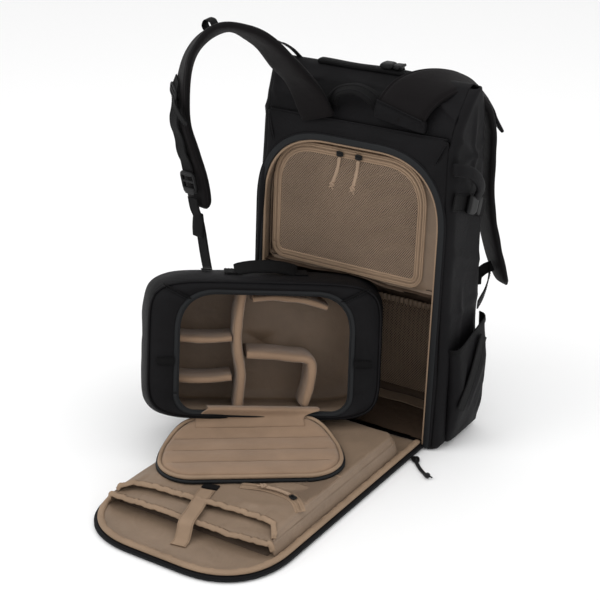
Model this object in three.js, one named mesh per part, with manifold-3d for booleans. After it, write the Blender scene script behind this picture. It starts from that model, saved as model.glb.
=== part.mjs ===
// Camera backpack standing open. The back panel is unzipped and lies on the floor in front of the
// bag, and the padded camera pod stands on it with its own front lid folded down.
// Millimetres, +Z up. The origin is on the floor at the middle of the bag's base, +Y runs from the
// back panel to the front of the bag, and +X is to the right of someone who faces the opening.

import * as THREE from 'three';
import { mergeVertices } from 'three/addons/utils/BufferGeometryUtils.js';
import Module from 'manifold-3d';

const wasm = await Module();
wasm.setup();

const degrees = THREE.MathUtils.degToRad;
const clamp = THREE.MathUtils.clamp;

// Sizes of the bag
const bagHeight = 524;
const bagHalfWidth = 165;
const bagDepth = 150;
const bagCorner = 36;
const seamCorner = 14;
const faceLean = degrees(3.67);
const shellWall = 6;
const liningWall = 1.5;
const gap = 0.3;
const ridgeShare = 0.975;
const ridgeFoot = 0.92;
const cutPast = 3;

// Sizes of the opening in the back panel, and of the door that closes it
const openingHalfWidth = 145;
const openingHeight = 428;
const openingCorner = 107;
const cornerPower = 2.4;
const zipTapeWidth = 10;
const zipTapeThickness = 3;
const doorThickness = 5;
const doorLiningThickness = 3;
const doorRimWidth = 8;
const doorRimHeight = 4;
const doorHingeReach = 20;

// Sizes of the mesh-fronted compartment in the upper half of the bag
const compartmentBottom = 232;
const compartmentTop = 447;
const compartmentRecess = 14;
const compartmentWall = 2;
const meshHalfWidth = 126;
const meshShift = -8;
const meshBottom = 238;
const meshTop = 418;
const meshCorner = 70;
const meshThickness = 1;
const meshFootCorner = 20;
const bandWidth = 13;
const bandThickness = 2.5;
const pullLength = 38;

// Sizes of the gathered pocket on the far wall of the lower space, and of the strip on its floor
const pocketBottom = 24;
const pocketTop = 166;
const pocketHalfWidth = 118;
const pocketFullness = 12;
const pocketWall = 1.2;
const stripWidth = 24;
const stripPlace = 28;

// Sizes of the roll-top's hem, its buckle and the grab handle
const hemHalfLength = 72.5;
const hemShift = -11.5;
const hemWidth = 18;
const hemThickness = 7;
const hemSetForward = 2;
const rollBucklePlace = 34;
const rollBuckleHeight = 9;
const handleShare = 0.912;
const handleHalfSpan = 46;
const handlePlace = 9;
const handleHeight = 33;
const handleStand = 32;
const handleWidth = 22;
const handleThickness = 5;

// Sizes of the padded pocket layers on the door
const sleeveHalfWidth = 131;
const sleeveTopHalfWidth = 122;
const sleeveNear = -452;
const sleeveFar = -106;
const sleeveHeight = 18;
const tabletHeight = 8;
const tabletNear = -408;
const tabletReach = 120;
const sleeveCorner = 26;
const sleeveWall = 2;
const sleeveZipWidth = 15;
const sleeveZipThickness = 1.2;
const tabThickness = 1.6;

// Sizes and pose of the camera pod
const podWidth = 334;
const podHeight = 199;
const podDepth = 114;
const podCorner = 35;
const podBulge = 8;
const podWall = 7;
const podLiningWall = 1.5;
const podOpeningHalfWidth = 124;
const podOpeningTop = 182;
const podOpeningCorner = 58;
const podPlace = new THREE.Vector3(-42, -214, 55.5);
const podYaw = degrees(39.24);
const podTilt = degrees(16.41);
const podRoll = degrees(-3.76);
const dividerThickness = 13;
const dividerSetback = 9;
const mainDividerPlace = -34;
const cornerDividerPlace = 70;
const shelfHeights = { shelf_upper: 0.575, shelf_lower: 0.28 };
const cornerDividerHeight = 0.43;

// Sizes of the pod's lid, which lies on the pockets
const lidHalfWidth = 126;
const lidLength = 135;
const lidCorner = 50;
const lidFlange = 4;
const lidPad = 9;
const lidBorder = 4;
const lidFarCorner = 44;
const lidFarReach = 8;
const lidPlace = new THREE.Vector3(-53, -229, 0.5);
const lidYaw = degrees(35);

// Sizes of the straps, webbing and buckles
const padWidth = 70;
const padThickness = 14;
const webbingWidth = 25;
const webbingThickness = 2;
const narrowWebbing = 16;
const buckleLength = 30;
const cordWidth = 5.4;
const cordThickness = 3;
const knotLength = 9;
const sliderLength = 11;
const sliderWidth = 8;
const sliderHeight = 4;
const sideBuckleHeight = 8;

// Sizes of the bottle pocket on the bag's right side
const bottleWall = 1.5;
const bottleNear = -56;
const bottleFar = 38;
const bottleFullness = 17;
const bottleMouthSlope = 0.28;

// Colours seen in the photograph, by material
const finish = {
  nylon: { color: 0x17161a, roughness: 0.62 },
  webbing: { color: 0x121214, roughness: 0.7 },
  zip: { color: 0x1e1f22, roughness: 0.6 },
  lining: { color: 0x9a7f66, roughness: 0.75 },
  padding: { color: 0xa58870, roughness: 0.85 },
  mesh: { color: 0x8b7058, roughness: 0.8 },
  cord: { color: 0xa8906f, roughness: 0.8 },
  hardware: { color: 0x0d0d0e, roughness: 0.35 },
};

// Scene graph helpers

function piece(name, geometry, look, parent) {
  const mesh = new THREE.Mesh(geometry, new THREE.MeshStandardMaterial({ metalness: 0, ...finish[look] }));
  mesh.name = name;
  parent.add(mesh);
  return mesh;
}

// Turns a closed geometry into a solid, and a solid back into a geometry.
function solidOf(geometry) {
  const bare = geometry.clone();
  bare.deleteAttribute('normal');
  bare.deleteAttribute('uv');
  const merged = mergeVertices(bare, 1e-4);
  return new wasm.Manifold(new wasm.Mesh({
    numProp: 3,
    vertProperties: new Float32Array(merged.attributes.position.array),
    triVerts: new Uint32Array(merged.index.array),
  }));
}

function geometryOf(solid) {
  const mesh = solid.getMesh();
  const geometry = new THREE.BufferGeometry();
  geometry.setAttribute('position', new THREE.Float32BufferAttribute(mesh.vertProperties, 3));
  geometry.setIndex(new THREE.Uint32BufferAttribute(mesh.triVerts, 1));
  return geometry;
}

function cut(geometry, ...tools) {
  let solid = solidOf(geometry);
  for (const tool of tools) {
    solid = solid.subtract(solidOf(tool));
  }
  return geometryOf(solid);
}

// Joins rings of points, one above the other, into a closed body with a flat cap at each end.
function loft(rings) {
  const around = rings[0].length;
  const positions = [];
  const faces = [];
  for (const ring of rings) {
    for (const point of ring) {
      positions.push(point.x, point.y, point.z);
    }
  }
  for (let row = 0; row + 1 < rings.length; row += 1) {
    for (let i = 0; i < around; i += 1) {
      const a = row * around + i;
      const b = row * around + ((i + 1) % around);
      faces.push(a, b, b + around, a, b + around, a + around);
    }
  }
  for (const end of [0, rings.length - 1]) {
    const ring = rings[end];
    const middle = new THREE.Vector3();
    ring.forEach((point) => middle.addScaledVector(point, 1 / around));
    const centre = positions.length / 3;
    positions.push(middle.x, middle.y, middle.z);
    for (let i = 0; i < around; i += 1) {
      const a = end * around + i;
      const b = end * around + ((i + 1) % around);
      faces.push(centre, end === 0 ? b : a, end === 0 ? a : b);
    }
  }
  const geometry = new THREE.BufferGeometry();
  geometry.setAttribute('position', new THREE.Float32BufferAttribute(positions, 3));
  geometry.setIndex(faces);
  return geometry;
}

// A level ring: a rectangle with round corners, anticlockwise seen from above. Its front corners
// may be tighter than its rear ones.
function roundedRing(left, right, front, rear, corner, height, steps = 3, frontCorner = corner) {
  const limit = 0.48 * Math.min(right - left, rear - front);
  const b = Math.min(corner, limit);
  const f = Math.min(frontCorner, limit);
  const ring = [];
  const corners = [[right - f, front + f, f], [right - b, rear - b, b],
    [left + b, rear - b, b], [left + f, front + f, f]];
  corners.forEach(([x, y, r], quarter) => {
    for (let i = 0; i <= steps; i += 1) {
      const turn = (quarter - 1 + i / steps) * (Math.PI / 2);
      ring.push(new THREE.Vector3(x + r * Math.cos(turn), y + r * Math.sin(turn), height));
    }
  });
  return ring;
}

// The outline of the opening: square at the bottom, with large superellipse corners at the top.
function archShape(halfWidth, bottom, top, corner, shift = 0, footCorner = 0, steps = 7) {
  const shape = new THREE.Shape();
  const quarter = (side, first, last) => {
    for (let i = 0; i <= steps; i += 1) {
      const turn = THREE.MathUtils.lerp(first, last, i / steps);
      const x = halfWidth - corner + corner * Math.cos(turn) ** (2 / cornerPower);
      const z = top - corner + corner * Math.sin(turn) ** (2 / cornerPower);
      shape.lineTo(shift + side * x, z);
    }
  };
  if (footCorner > 0) {
    shape.absarc(shift + halfWidth - footCorner, bottom + footCorner, footCorner, -Math.PI / 2, 0);
  } else {
    shape.moveTo(shift + halfWidth, bottom);
  }
  quarter(1, 0, Math.PI / 2);
  quarter(-1, Math.PI / 2, 0);
  if (footCorner > 0) {
    shape.absarc(shift - halfWidth + footCorner, bottom + footCorner, footCorner, Math.PI, 1.5 * Math.PI);
  } else {
    shape.lineTo(shift - halfWidth, bottom);
  }
  shape.closePath();
  return shape;
}

// A plate that stands upright, drawn in x and z, between two depths along y.
function uprightPlate(shape, front, rear, curveSegments = 5) {
  const depth = rear - front;
  const geometry = new THREE.ExtrudeGeometry(shape, { depth, bevelEnabled: false, curveSegments });
  return geometry.rotateX(Math.PI / 2).translate(0, rear, 0);
}

// A plate that lies flat, drawn in x and y, between two heights.
function levelPlate(shape, bottom, top, curveSegments = 5) {
  const depth = top - bottom;
  const geometry = new THREE.ExtrudeGeometry(shape, { depth, bevelEnabled: false, curveSegments });
  return geometry.translate(0, 0, bottom);
}

// A band that is swept through stations. Each station has a place, the way its outer face looks
// as a bearing from -Y towards +X and a rise, both in degrees, and its width and thickness.
function bandAlong(stations, steps) {
  const route = routeThrough(stations);
  const rings = [];
  for (let i = 0; i <= steps; i += 1) {
    const t = i / steps;
    const place = t * (stations.length - 1);
    const k = Math.min(Math.floor(place), stations.length - 2);
    const mix = place - k;
    const here = stations[k];
    const next = stations[k + 1];
    const width = THREE.MathUtils.lerp(here.width, next.width, mix);
    const thickness = THREE.MathUtils.lerp(here.thickness, next.thickness, mix);
    const along = route.getTangent(t);
    const outward = outerFace(here).lerp(outerFace(next), mix);
    outward.addScaledVector(along, -outward.dot(along)).normalize();
    const across = new THREE.Vector3().crossVectors(outward, along).normalize();
    rings.push(bandRing(route.getPoint(t), across, outward, width / 2, thickness / 2));
  }
  return loft(rings);
}

function routeThrough(stations) {
  const points = stations.map((station) => new THREE.Vector3(...station.at));
  return new THREE.CatmullRomCurve3(points, false, 'centripetal');
}

function outerFace(station) {
  const [bearing, rise] = station.faces.map(degrees);
  return new THREE.Vector3(
    Math.cos(rise) * Math.sin(bearing),
    -Math.cos(rise) * Math.cos(bearing),
    Math.sin(rise),
  );
}

// The same stations for a band that is larger by a clearance all round.
function grown(stations, clearance) {
  return stations.map((station) => ({
    ...station,
    width: station.width + 2 * clearance,
    thickness: station.thickness + 2 * clearance,
  }));
}

// Thick bands have eight sides with soft edges, thin webbing has four.
function bandRing(centre, across, outward, w, t) {
  const edge = Math.min(0.55 * t, 0.3 * w);
  const soft = t > 2;
  const outline = soft
    ? [[-w, -t + edge], [-w + edge, -t], [w - edge, -t], [w, -t + edge],
      [w, t - edge], [w - edge, t], [-w + edge, t], [-w, t - edge]]
    : [[-w, -t], [w, -t], [w, t], [-w, t]];
  return outline.map(([a, o]) => centre.clone().addScaledVector(across, a).addScaledVector(outward, o));
}

// A doubled pull cord as an oval tube through a few points.
function pullCord(points) {
  const oval = new THREE.Shape();
  const sides = 8;
  for (let i = 0; i < sides; i += 1) {
    const turn = (i / sides) * 2 * Math.PI;
    const x = (cordThickness / 2) * Math.cos(turn);
    const y = (cordWidth / 2) * Math.sin(turn);
    if (i === 0) {
      oval.moveTo(x, y);
    } else {
      oval.lineTo(x, y);
    }
  }
  const path = new THREE.CatmullRomCurve3(points.map((p) => new THREE.Vector3(...p)));
  return new THREE.ExtrudeGeometry(oval, { steps: 5, extrudePath: path, bevelEnabled: false });
}

function knot(centre, turn = [0, 0, 0]) {
  const geometry = new THREE.SphereGeometry(knotLength / 2, 8, 6);
  geometry.scale(0.95, 0.8, 1);
  geometry.rotateX(degrees(turn[0])).rotateY(degrees(turn[1])).rotateZ(degrees(turn[2]));
  return geometry.translate(...centre);
}

// A small moulded block with cut corners, for sliders and buckles.
function block(length, width, height, chamfer = 0.2) {
  const c = chamfer * Math.min(length, width);
  const shape = new THREE.Shape();
  const corners = [[length / 2 - c, -width / 2], [length / 2, -width / 2 + c], [length / 2, width / 2 - c],
    [length / 2 - c, width / 2], [-length / 2 + c, width / 2], [-length / 2, width / 2 - c],
    [-length / 2, -width / 2 + c], [-length / 2 + c, -width / 2]];
  corners.forEach(([x, y], i) => (i === 0 ? shape.moveTo(x, y) : shape.lineTo(x, y)));
  shape.closePath();
  return levelPlate(shape, -height / 2, height / 2);
}

// The bag's sections

// Each row: height, left, right, set back of the front, rear and corner, as shares of the bag's
// height, half width, half width, depth, depth and corner radius.
const bagSections = [
  [0.000, -0.95, 0.99, 0.015, 0.33, 0.80],
  [0.020, -0.99, 1.03, 0.000, 0.36, 1.00],
  [0.200, -1.00, 1.04, 0.000, 0.37, 1.00],
  [0.425, -0.99, 1.02, 0.000, 0.39, 1.00],
  [0.650, -0.95, 1.00, 0.000, 0.43, 1.00],
  [0.850, -0.93, 0.99, 0.000, 0.43, 0.95],
  [0.915, -0.94, 1.01, 0.050, 0.34, 0.80],
  [0.970, -0.96, 1.03, 0.155, 0.19, 0.45],
  [1.000, -0.96, 1.03, 0.245, 0.11, 0.25],
];

function faceDepth(z) {
  return -bagDepth / 2 + z * Math.tan(faceLean);
}

function bagSection(z) {
  const share = clamp(z / bagHeight, 0, 1);
  const above = Math.max(1, bagSections.findIndex((row) => row[0] >= share));
  const [low, high] = [bagSections[above - 1], bagSections[above]];
  const mix = (share - low[0]) / (high[0] - low[0]);
  const row = low.map((value, i) => THREE.MathUtils.lerp(value, high[i], mix));
  const [, left, right, setBack, rear, corner] = row;
  return {
    left: left * bagHalfWidth,
    right: right * bagHalfWidth,
    front: faceDepth(z) + setBack * bagDepth,
    rear: rear * bagDepth,
    corner: corner * bagCorner,
    seam: corner * seamCorner,
  };
}

function bagRing(z, inset) {
  const s = bagSection(z);
  return roundedRing(s.left + inset, s.right - inset, s.front + inset, s.rear - inset,
    Math.max(s.corner - inset, 3), z, 3, Math.max(s.seam - inset, 2));
}

function bagLoft(inset, bottom, top) {
  const heights = bagSections.map((row) => row[0] * bagHeight).filter((z) => z > bottom + 2 && z < top - 2);
  return loft([bottom, ...heights, top].map((z) => bagRing(z, inset)));
}

// The scene

const backpack = new THREE.Group();

// The back face leans away: its frame has x across, y into the bag and z up the face.
const backFace = new THREE.Group();
backFace.position.set(0, -bagDepth / 2, 0);
backFace.rotation.x = -faceLean;
backpack.add(backFace);

const pod = new THREE.Group();
pod.position.copy(podPlace);
pod.rotation.set(-podTilt, -podRoll, podYaw, 'ZXY');
backpack.add(pod);

const lid = new THREE.Group();
lid.position.copy(lidPlace);
lid.rotation.z = lidYaw;
backpack.add(lid);

backpack.updateMatrixWorld(true);

function fromFace(geometry) {
  return geometry.applyMatrix4(backFace.matrixWorld);
}

// The pod's body at some inset, in the pod's own frame: x across, y into the pod, z up.
// Each row: depth and bulge, as shares of the pod's depth and of the bulge of its gussets.
const podSections = [
  [0.00, -0.3],
  [0.04, 0.15],
  [0.22, 0.85],
  [0.50, 1.0],
  [0.78, 0.85],
  [0.96, 0.15],
  [1.00, -0.4],
];

function podLoft(inset, front = 0, rear = podDepth) {
  const rings = podSections.map(([depth, bulge]) => {
    const out = bulge * podBulge - inset;
    const y = THREE.MathUtils.lerp(front, rear, depth);
    const foot = inset - Math.min(bulge, 0) * podBulge;
    const top = podHeight + out;
    const half = podWidth / 2 + out;
    return roundedRing(-half, half, foot, top, Math.max(podCorner - inset, 6), 0, 4)
      .map((p) => new THREE.Vector3(p.x, y, p.y));
  });
  return loft(rings.map((ring) => ring.reverse()));
}

// The space that the pod takes, with a clearance round it, in the bag's frame.
function podSpace(clearance) {
  return podLoft(-clearance, -clearance, podDepth + clearance).applyMatrix4(pod.matrixWorld);
}

function makeBag() {
  const innerFace = shellWall + liningWall;
  const opening = (bottom) => archShape(openingHalfWidth, bottom, openingHeight, openingCorner);
  const through = (bottom) => fromFace(uprightPlate(opening(bottom), -4 * cutPast, innerFace + cutPast));
  const floor = new THREE.BoxGeometry(4 * bagHalfWidth, 4 * bagDepth, 2 * shellWall);
  piece('body_shell', cut(bagLoft(0, 0, bagHeight), bagLoft(shellWall, shellWall, ridgeShare * bagHeight),
    cut(through(-2 * shellWall), floor)), 'nylon', backpack);

  const liningInset = shellWall + gap;
  const liningTop = compartmentTop + liningWall + gap + compartmentWall;
  piece('body_lining', cut(bagLoft(liningInset, liningInset, liningTop),
    bagLoft(liningInset + liningWall, liningInset + liningWall, liningTop - liningWall),
    through(innerFace + gap)), 'lining', backpack);

  const tape = archShape(openingHalfWidth + zipTapeWidth, 2 * shellWall, openingHeight + zipTapeWidth,
    openingCorner + zipTapeWidth);
  const bare = uprightPlate(opening(-2 * shellWall), -2 * zipTapeThickness, zipTapeThickness);
  piece('opening_zip_tape', cut(uprightPlate(tape, -zipTapeThickness - gap, -gap), bare), 'zip', backFace);
}

function makeCompartment() {
  const inset = shellWall + liningWall + 2 * gap;
  const behind = (depth) => fromFace(new THREE.BoxGeometry(3 * bagHalfWidth, bagDepth, 3 * bagHeight)
    .translate(0, depth - bagDepth / 2, 0));
  const window = archShape(meshHalfWidth - bandWidth, meshBottom + bandWidth, meshTop - bandWidth,
    meshCorner - bandWidth, meshShift, meshFootCorner - bandWidth);
  const podClearance = 2;
  const outer = cut(bagLoft(inset, compartmentBottom, compartmentTop), behind(compartmentRecess),
    podSpace(podClearance));
  const hollow = cut(
    bagLoft(inset + compartmentWall, compartmentBottom + compartmentWall, compartmentTop - compartmentWall),
    behind(compartmentRecess + compartmentWall), podSpace(podClearance + compartmentWall));
  const windowCut = fromFace(uprightPlate(window, 0, compartmentRecess + 2 * compartmentWall));
  piece('upper_compartment', cut(outer, hollow, windowCut), 'lining', backpack);

  const front = compartmentRecess - gap;
  const frame = archShape(meshHalfWidth, meshBottom, meshTop, meshCorner, meshShift, meshFootCorner);
  piece('mesh_panel', uprightPlate(frame, front - meshThickness, front), 'mesh', backFace);
  const bandRear = front - meshThickness - gap;
  const bandFront = bandRear - bandThickness;
  const band = cut(uprightPlate(frame, bandFront, bandRear),
    uprightPlate(window, bandFront - cutPast, bandRear + cutPast));
  piece('compartment_zip_band', band, 'lining', backFace);

  // Two sliders meet near the middle of the band's top run, each with a doubled cord.
  // Each row: side, place along the band as a share of the mesh's half width, and swing of the cord
  // at its knot as a share of its length.
  const pulls = [
    ['left', -0.183, -0.24],
    ['right', 0.063, -0.16],
  ];
  const sliderDepth = bandFront - gap - sliderHeight / 2;
  const sliderRise = meshTop - bandWidth / 2;
  const cordTop = sliderRise - sliderWidth / 2 - 2 * gap;
  const knotRise = cordTop - pullLength - knotLength / 2 - gap;
  for (const [side, share, swing] of pulls) {
    const x = share * meshHalfWidth;
    const slider = piece(`compartment_slider_${side}`, block(sliderLength, sliderWidth, sliderHeight),
      'hardware', backFace);
    slider.rotation.x = Math.PI / 2;
    slider.position.set(x, sliderDepth, sliderRise);
    const cord = pullCord([[x, sliderDepth, cordTop],
      [x + 0.3 * swing * pullLength, sliderDepth, cordTop - 0.5 * pullLength],
      [x + swing * pullLength, sliderDepth, cordTop - pullLength]]);
    piece(`compartment_cord_${side}`, cord, 'cord', backFace);
    const end = knot([x + 1.15 * swing * pullLength, sliderDepth, knotRise]);
    piece(`compartment_knot_${side}`, end, 'cord', backFace);
  }
}

// The gathered mesh pocket on the far wall of the lower space, and the strip on its floor.
function makeLowerPocket() {
  const inset = shellWall + liningWall + 2 * gap;
  // Each row: height and fullness, as shares of the pocket's height and of its fullness.
  const rows = [
    [0.00, 0.35],
    [0.25, 0.90],
    [0.60, 1.00],
    [0.90, 0.80],
    [1.00, 0.55],
  ];
  const bag = (thin, low, high) => loft(rows.map(([rise, full]) => {
    const z = THREE.MathUtils.lerp(low, high, rise);
    const rear = bagSection(z).rear - inset - thin;
    const half = pocketHalfWidth - thin;
    return roundedRing(-half, half, rear + 2 * thin - full * pocketFullness, rear, 4 * pocketWall, z, 2);
  }));
  const hollow = bag(pocketWall, pocketBottom + pocketWall, pocketTop + cutPast);
  piece('mesh_pocket', cut(bag(0, pocketBottom, pocketTop), hollow), 'mesh', backpack);

  const strip = new THREE.BoxGeometry(2 * pocketHalfWidth, stripWidth, liningWall);
  piece('floor_strip', strip, 'lining', backpack).position.set(0, stripPlace, inset + liningWall / 2);
}

function makeTop() {
  // The stiff hem of the roll-top lies along the ridge.
  const ridge = bagSection(bagHeight);
  const hemPlace = (ridge.front + ridge.rear) / 2 - hemSetForward;
  const hemBase = bagHeight + 1.5 * gap;
  const hemTop = hemBase + hemThickness;
  const hem = [-1, 1].map((side) => ({
    at: [side * hemHalfLength + hemShift, hemPlace, hemBase + hemThickness / 2],
    faces: [0, 90],
    width: hemWidth,
    thickness: hemThickness,
  }));
  piece('roll_hem', bandAlong(hem, 1), 'nylon', backpack);

  const buckleWidth = 0.8 * webbingWidth;
  const buckleBlock = block(buckleLength, buckleWidth, rollBuckleHeight);
  const buckle = piece('roll_buckle', buckleBlock, 'hardware', backpack);
  buckle.position.set(rollBucklePlace, hemPlace, hemTop + gap + rollBuckleHeight / 2);

  // The closing strap starts behind the buckle and runs down the front of the bag.
  // Each row: height as a share of the bag's, distance off the bag, and rise of the strap's face.
  const strapRows = [
    [0.995, 3.2, 40],
    [0.970, 3.1, 25],
    [0.915, 3.1, 15],
    [0.850, 3.1, 8],
    [0.760, 3.1, 0],
  ];
  const over = webbingThickness / 2 + gap;
  const strap = strapRows.map(([share, off, rise]) => ({
    at: [rollBucklePlace, bagSection(share * bagHeight).rear + off, share * bagHeight],
    faces: [180, rise],
    width: webbingWidth,
    thickness: webbingThickness,
  }));
  strap.unshift({ ...strap[0], at: [rollBucklePlace, hemPlace + buckleWidth / 2 + over, hemTop + over],
    faces: [180, 90] });
  piece('roll_strap', bandAlong(strap, 12), 'webbing', backpack);

  // The grab handle arches out from the upper back.
  // Each row: across, out and up as shares of the handle's half span, stand and height, and rise
  // of its face.
  const handleRows = [
    [-1.00, 0.00, 0.00, 0],
    [-0.92, 0.34, 0.36, 30],
    [-0.62, 0.80, 0.80, 55],
    [-0.06, 1.00, 1.00, 62],
    [0.44, 0.80, 0.80, 55],
    [0.74, 0.34, 0.36, 30],
    [0.84, 0.00, 0.00, 0],
  ];
  const seatedOut = handleThickness / 2 + 4 * gap;
  const handle = handleRows.map(([x, out, up, rise]) => {
    const z = handleShare * bagHeight + up * handleHeight;
    const stand = THREE.MathUtils.lerp(seatedOut, handleStand, out);
    return {
      at: [handlePlace + x * handleHalfSpan, bagSection(z).front - stand, z],
      faces: [0, rise],
      width: handleWidth,
      thickness: handleThickness,
    };
  });
  const underPad = bandAlong(grown(padStations(rightPadRoute), gap), 36);
  piece('grab_handle', cut(bandAlong(handle, 16), underPad), 'webbing', backpack);
}

// The door is the unzipped back panel: the opening's outline laid on the floor.
function doorShape(inset, hinge) {
  const far = -bagDepth / 2 - doorHingeReach;
  const outline = archShape(openingHalfWidth - inset, hinge, openingHeight - inset, openingCorner - inset);
  const points = outline.getPoints(1).map((p) => new THREE.Vector2(-p.x, far - p.y));
  return new THREE.Shape(points);
}

function makeDoor() {
  const hinge = -doorHingeReach - bagDepth / 2 - bagSection(doorThickness).front + gap;
  piece('door_panel', levelPlate(doorShape(-1, hinge), 0, doorThickness), 'nylon', backpack);

  const bed = doorThickness + gap + doorLiningThickness;
  const rimTop = bed + doorRimHeight;
  const dish = levelPlate(doorShape(2 + doorRimWidth, hinge - doorHingeReach), bed, rimTop + cutPast);
  piece('door_lining', cut(levelPlate(doorShape(2, hinge + 4), doorThickness + gap, rimTop), dish),
    'lining', backpack);

  // The slider at the far end of the door's zip lies on the floor beside the bag. Its black cord
  // goes on from it along the floor, each point given from the slider's place.
  const sliderX = openingHalfWidth + 9;
  const sliderY = -bagDepth / 2 - 38;
  const thick = sliderHeight + 1;
  const slider = piece('door_zip_slider', block(sliderLength + 5, sliderWidth, thick), 'hardware', backpack);
  slider.rotation.z = degrees(-52);
  slider.position.set(sliderX, sliderY, thick / 2);
  const lie = cordThickness / 2 + gap;
  const cordPoints = [[5.4, -6.9], [19, -20], [33, -30]].map(([x, y]) => [sliderX + x, sliderY + y, lie]);
  piece('door_zip_cord', pullCord(cordPoints), 'cord', backpack);
  piece('door_zip_knot', knot([sliderX + 36.6, sliderY - 32.4, knotLength / 2 + gap]), 'cord', backpack);
}

const sleeveFloor = doorThickness + doorLiningThickness + 2 * gap;

// One pocket layer: a flat box with round far corners, narrower at the top, open at its near end.
function pocketLayer(base, top, near, low, high, inset, end = sleeveFar, corner = sleeveCorner) {
  const shrink = [base - inset, top - inset];
  const slope = end === sleeveFar ? 4 : 0;
  const mouth = near - (inset > 0 ? 20 : 0);
  return loft([low, high].map((z, i) => roundedRing(-shrink[i], shrink[i], mouth, end - inset - slope * i,
    Math.max(corner - inset, 1), z, 3, inset > 0 ? 2 : 8)));
}

function makePockets() {
  const pressed = gap;
  const middle = sleeveFloor + sleeveHeight;
  const upper = middle + gap;
  const top = upper + tabletHeight;
  const seam = tabletNear + tabletReach;
  const lowTop = sleeveTopHalfWidth + 2;
  const highTop = sleeveTopHalfWidth - 2;

  // Past the tablet pocket the sleeve rises to the pocket's height.
  const low = pocketLayer(sleeveHalfWidth, lowTop, sleeveNear, sleeveFloor, middle, 0);
  const raised = pocketLayer(lowTop, highTop, seam + gap, middle - 1, top, 0);
  const space = pocketLayer(sleeveHalfWidth, lowTop, sleeveNear, sleeveFloor + sleeveWall,
    middle - sleeveWall, sleeveWall);
  const sleeve = geometryOf(solidOf(low).add(solidOf(raised)));
  piece('laptop_sleeve', cut(sleeve, cut(space, podSpace(pressed + sleeveWall)), podSpace(pressed)),
    'lining', backpack);

  const tablet = pocketLayer(lowTop - 0.5, highTop, tabletNear, upper, top, 0, seam, 3);
  const tabletSpace = pocketLayer(lowTop - 0.5, highTop, tabletNear, upper + liningWall,
    top - liningWall, sleeveWall, seam - sleeveWall, 3);
  piece('tablet_pocket', cut(tablet, tabletSpace, podSpace(pressed)), 'lining', backpack);

  // The small zipped pocket shows as an arc of zip tape with a slider and a doubled cord.
  const tapeLevel = top + gap + sleeveZipThickness / 2;
  // Each row: across as a share of the sleeve's top half width, and distance past the tablet's mouth.
  const arcRows = [
    [0.238, 56],
    [0.475, 66],
    [0.787, 63],
    [1.000, 44],
  ];
  const arc = arcRows.map(([across, past]) => ({
    at: [across * sleeveTopHalfWidth, tabletNear + past, tapeLevel],
    faces: [0, 90],
    width: sleeveZipWidth,
    thickness: sleeveZipThickness,
  }));
  piece('sleeve_zip_tape', bandAlong(arc, 8), 'lining', backpack);
  const onTape = tapeLevel + sleeveZipThickness / 2 + gap;
  const sliderBlock = block(sliderLength, sliderWidth, sliderHeight);
  const slider = piece('sleeve_zip_slider', sliderBlock, 'hardware', backpack);
  const [sliderX, sliderY] = arc[2].at;
  slider.position.set(sliderX, sliderY, onTape + sliderHeight / 2);
  slider.rotation.z = degrees(-14);
  const lie = onTape + cordThickness;
  const cordPoints = [[-6.4, 1.6], [-24, 3], [-42, 1]].map(([x, y]) => [sliderX + x, sliderY + y, lie]);
  piece('sleeve_zip_cord', pullCord(cordPoints), 'cord', backpack);
  piece('sleeve_zip_knot', knot([sliderX - 47.6, sliderY + 0.4, onTape + knotLength / 2]), 'cord', backpack);

  // The retaining strap comes from a blank tab on top, over both mouths, down to the door.
  // Each row: across, along and up in millimetres, and rise of the strap's face.
  const over = webbingThickness / 2 + gap;
  const strapRows = [
    [-12.3, tabletNear + 19.5, top + over, 90],
    [-8.0, tabletNear + 4, top + over + 0.6, 90],
    [-1.0, tabletNear - 24, middle + 6, 72],
    [4.0, sleeveNear - 4, middle + 2.4, 60],
    [8.0, sleeveNear - 20, sleeveFloor + 9, 35],
    [10.0, sleeveNear - 29, sleeveFloor + 2.5, 50],
    [12.0, sleeveNear - 42, sleeveFloor + over, 90],
  ];
  const strap = strapRows.map(([x, y, z, rise]) => ({
    at: [x, y, z],
    faces: [8, rise],
    width: 0.9 * webbingWidth,
    thickness: webbingThickness,
  }));
  piece('retaining_strap', bandAlong(strap, 14), 'lining', backpack);
  const tab = piece('blank_tab', block(0.9 * webbingWidth, 12, tabThickness, 0.05), 'webbing', backpack);
  tab.rotation.z = degrees(12);
  tab.position.set(-13.6, tabletNear + 29, top + gap + tabThickness / 2);
}

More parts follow.
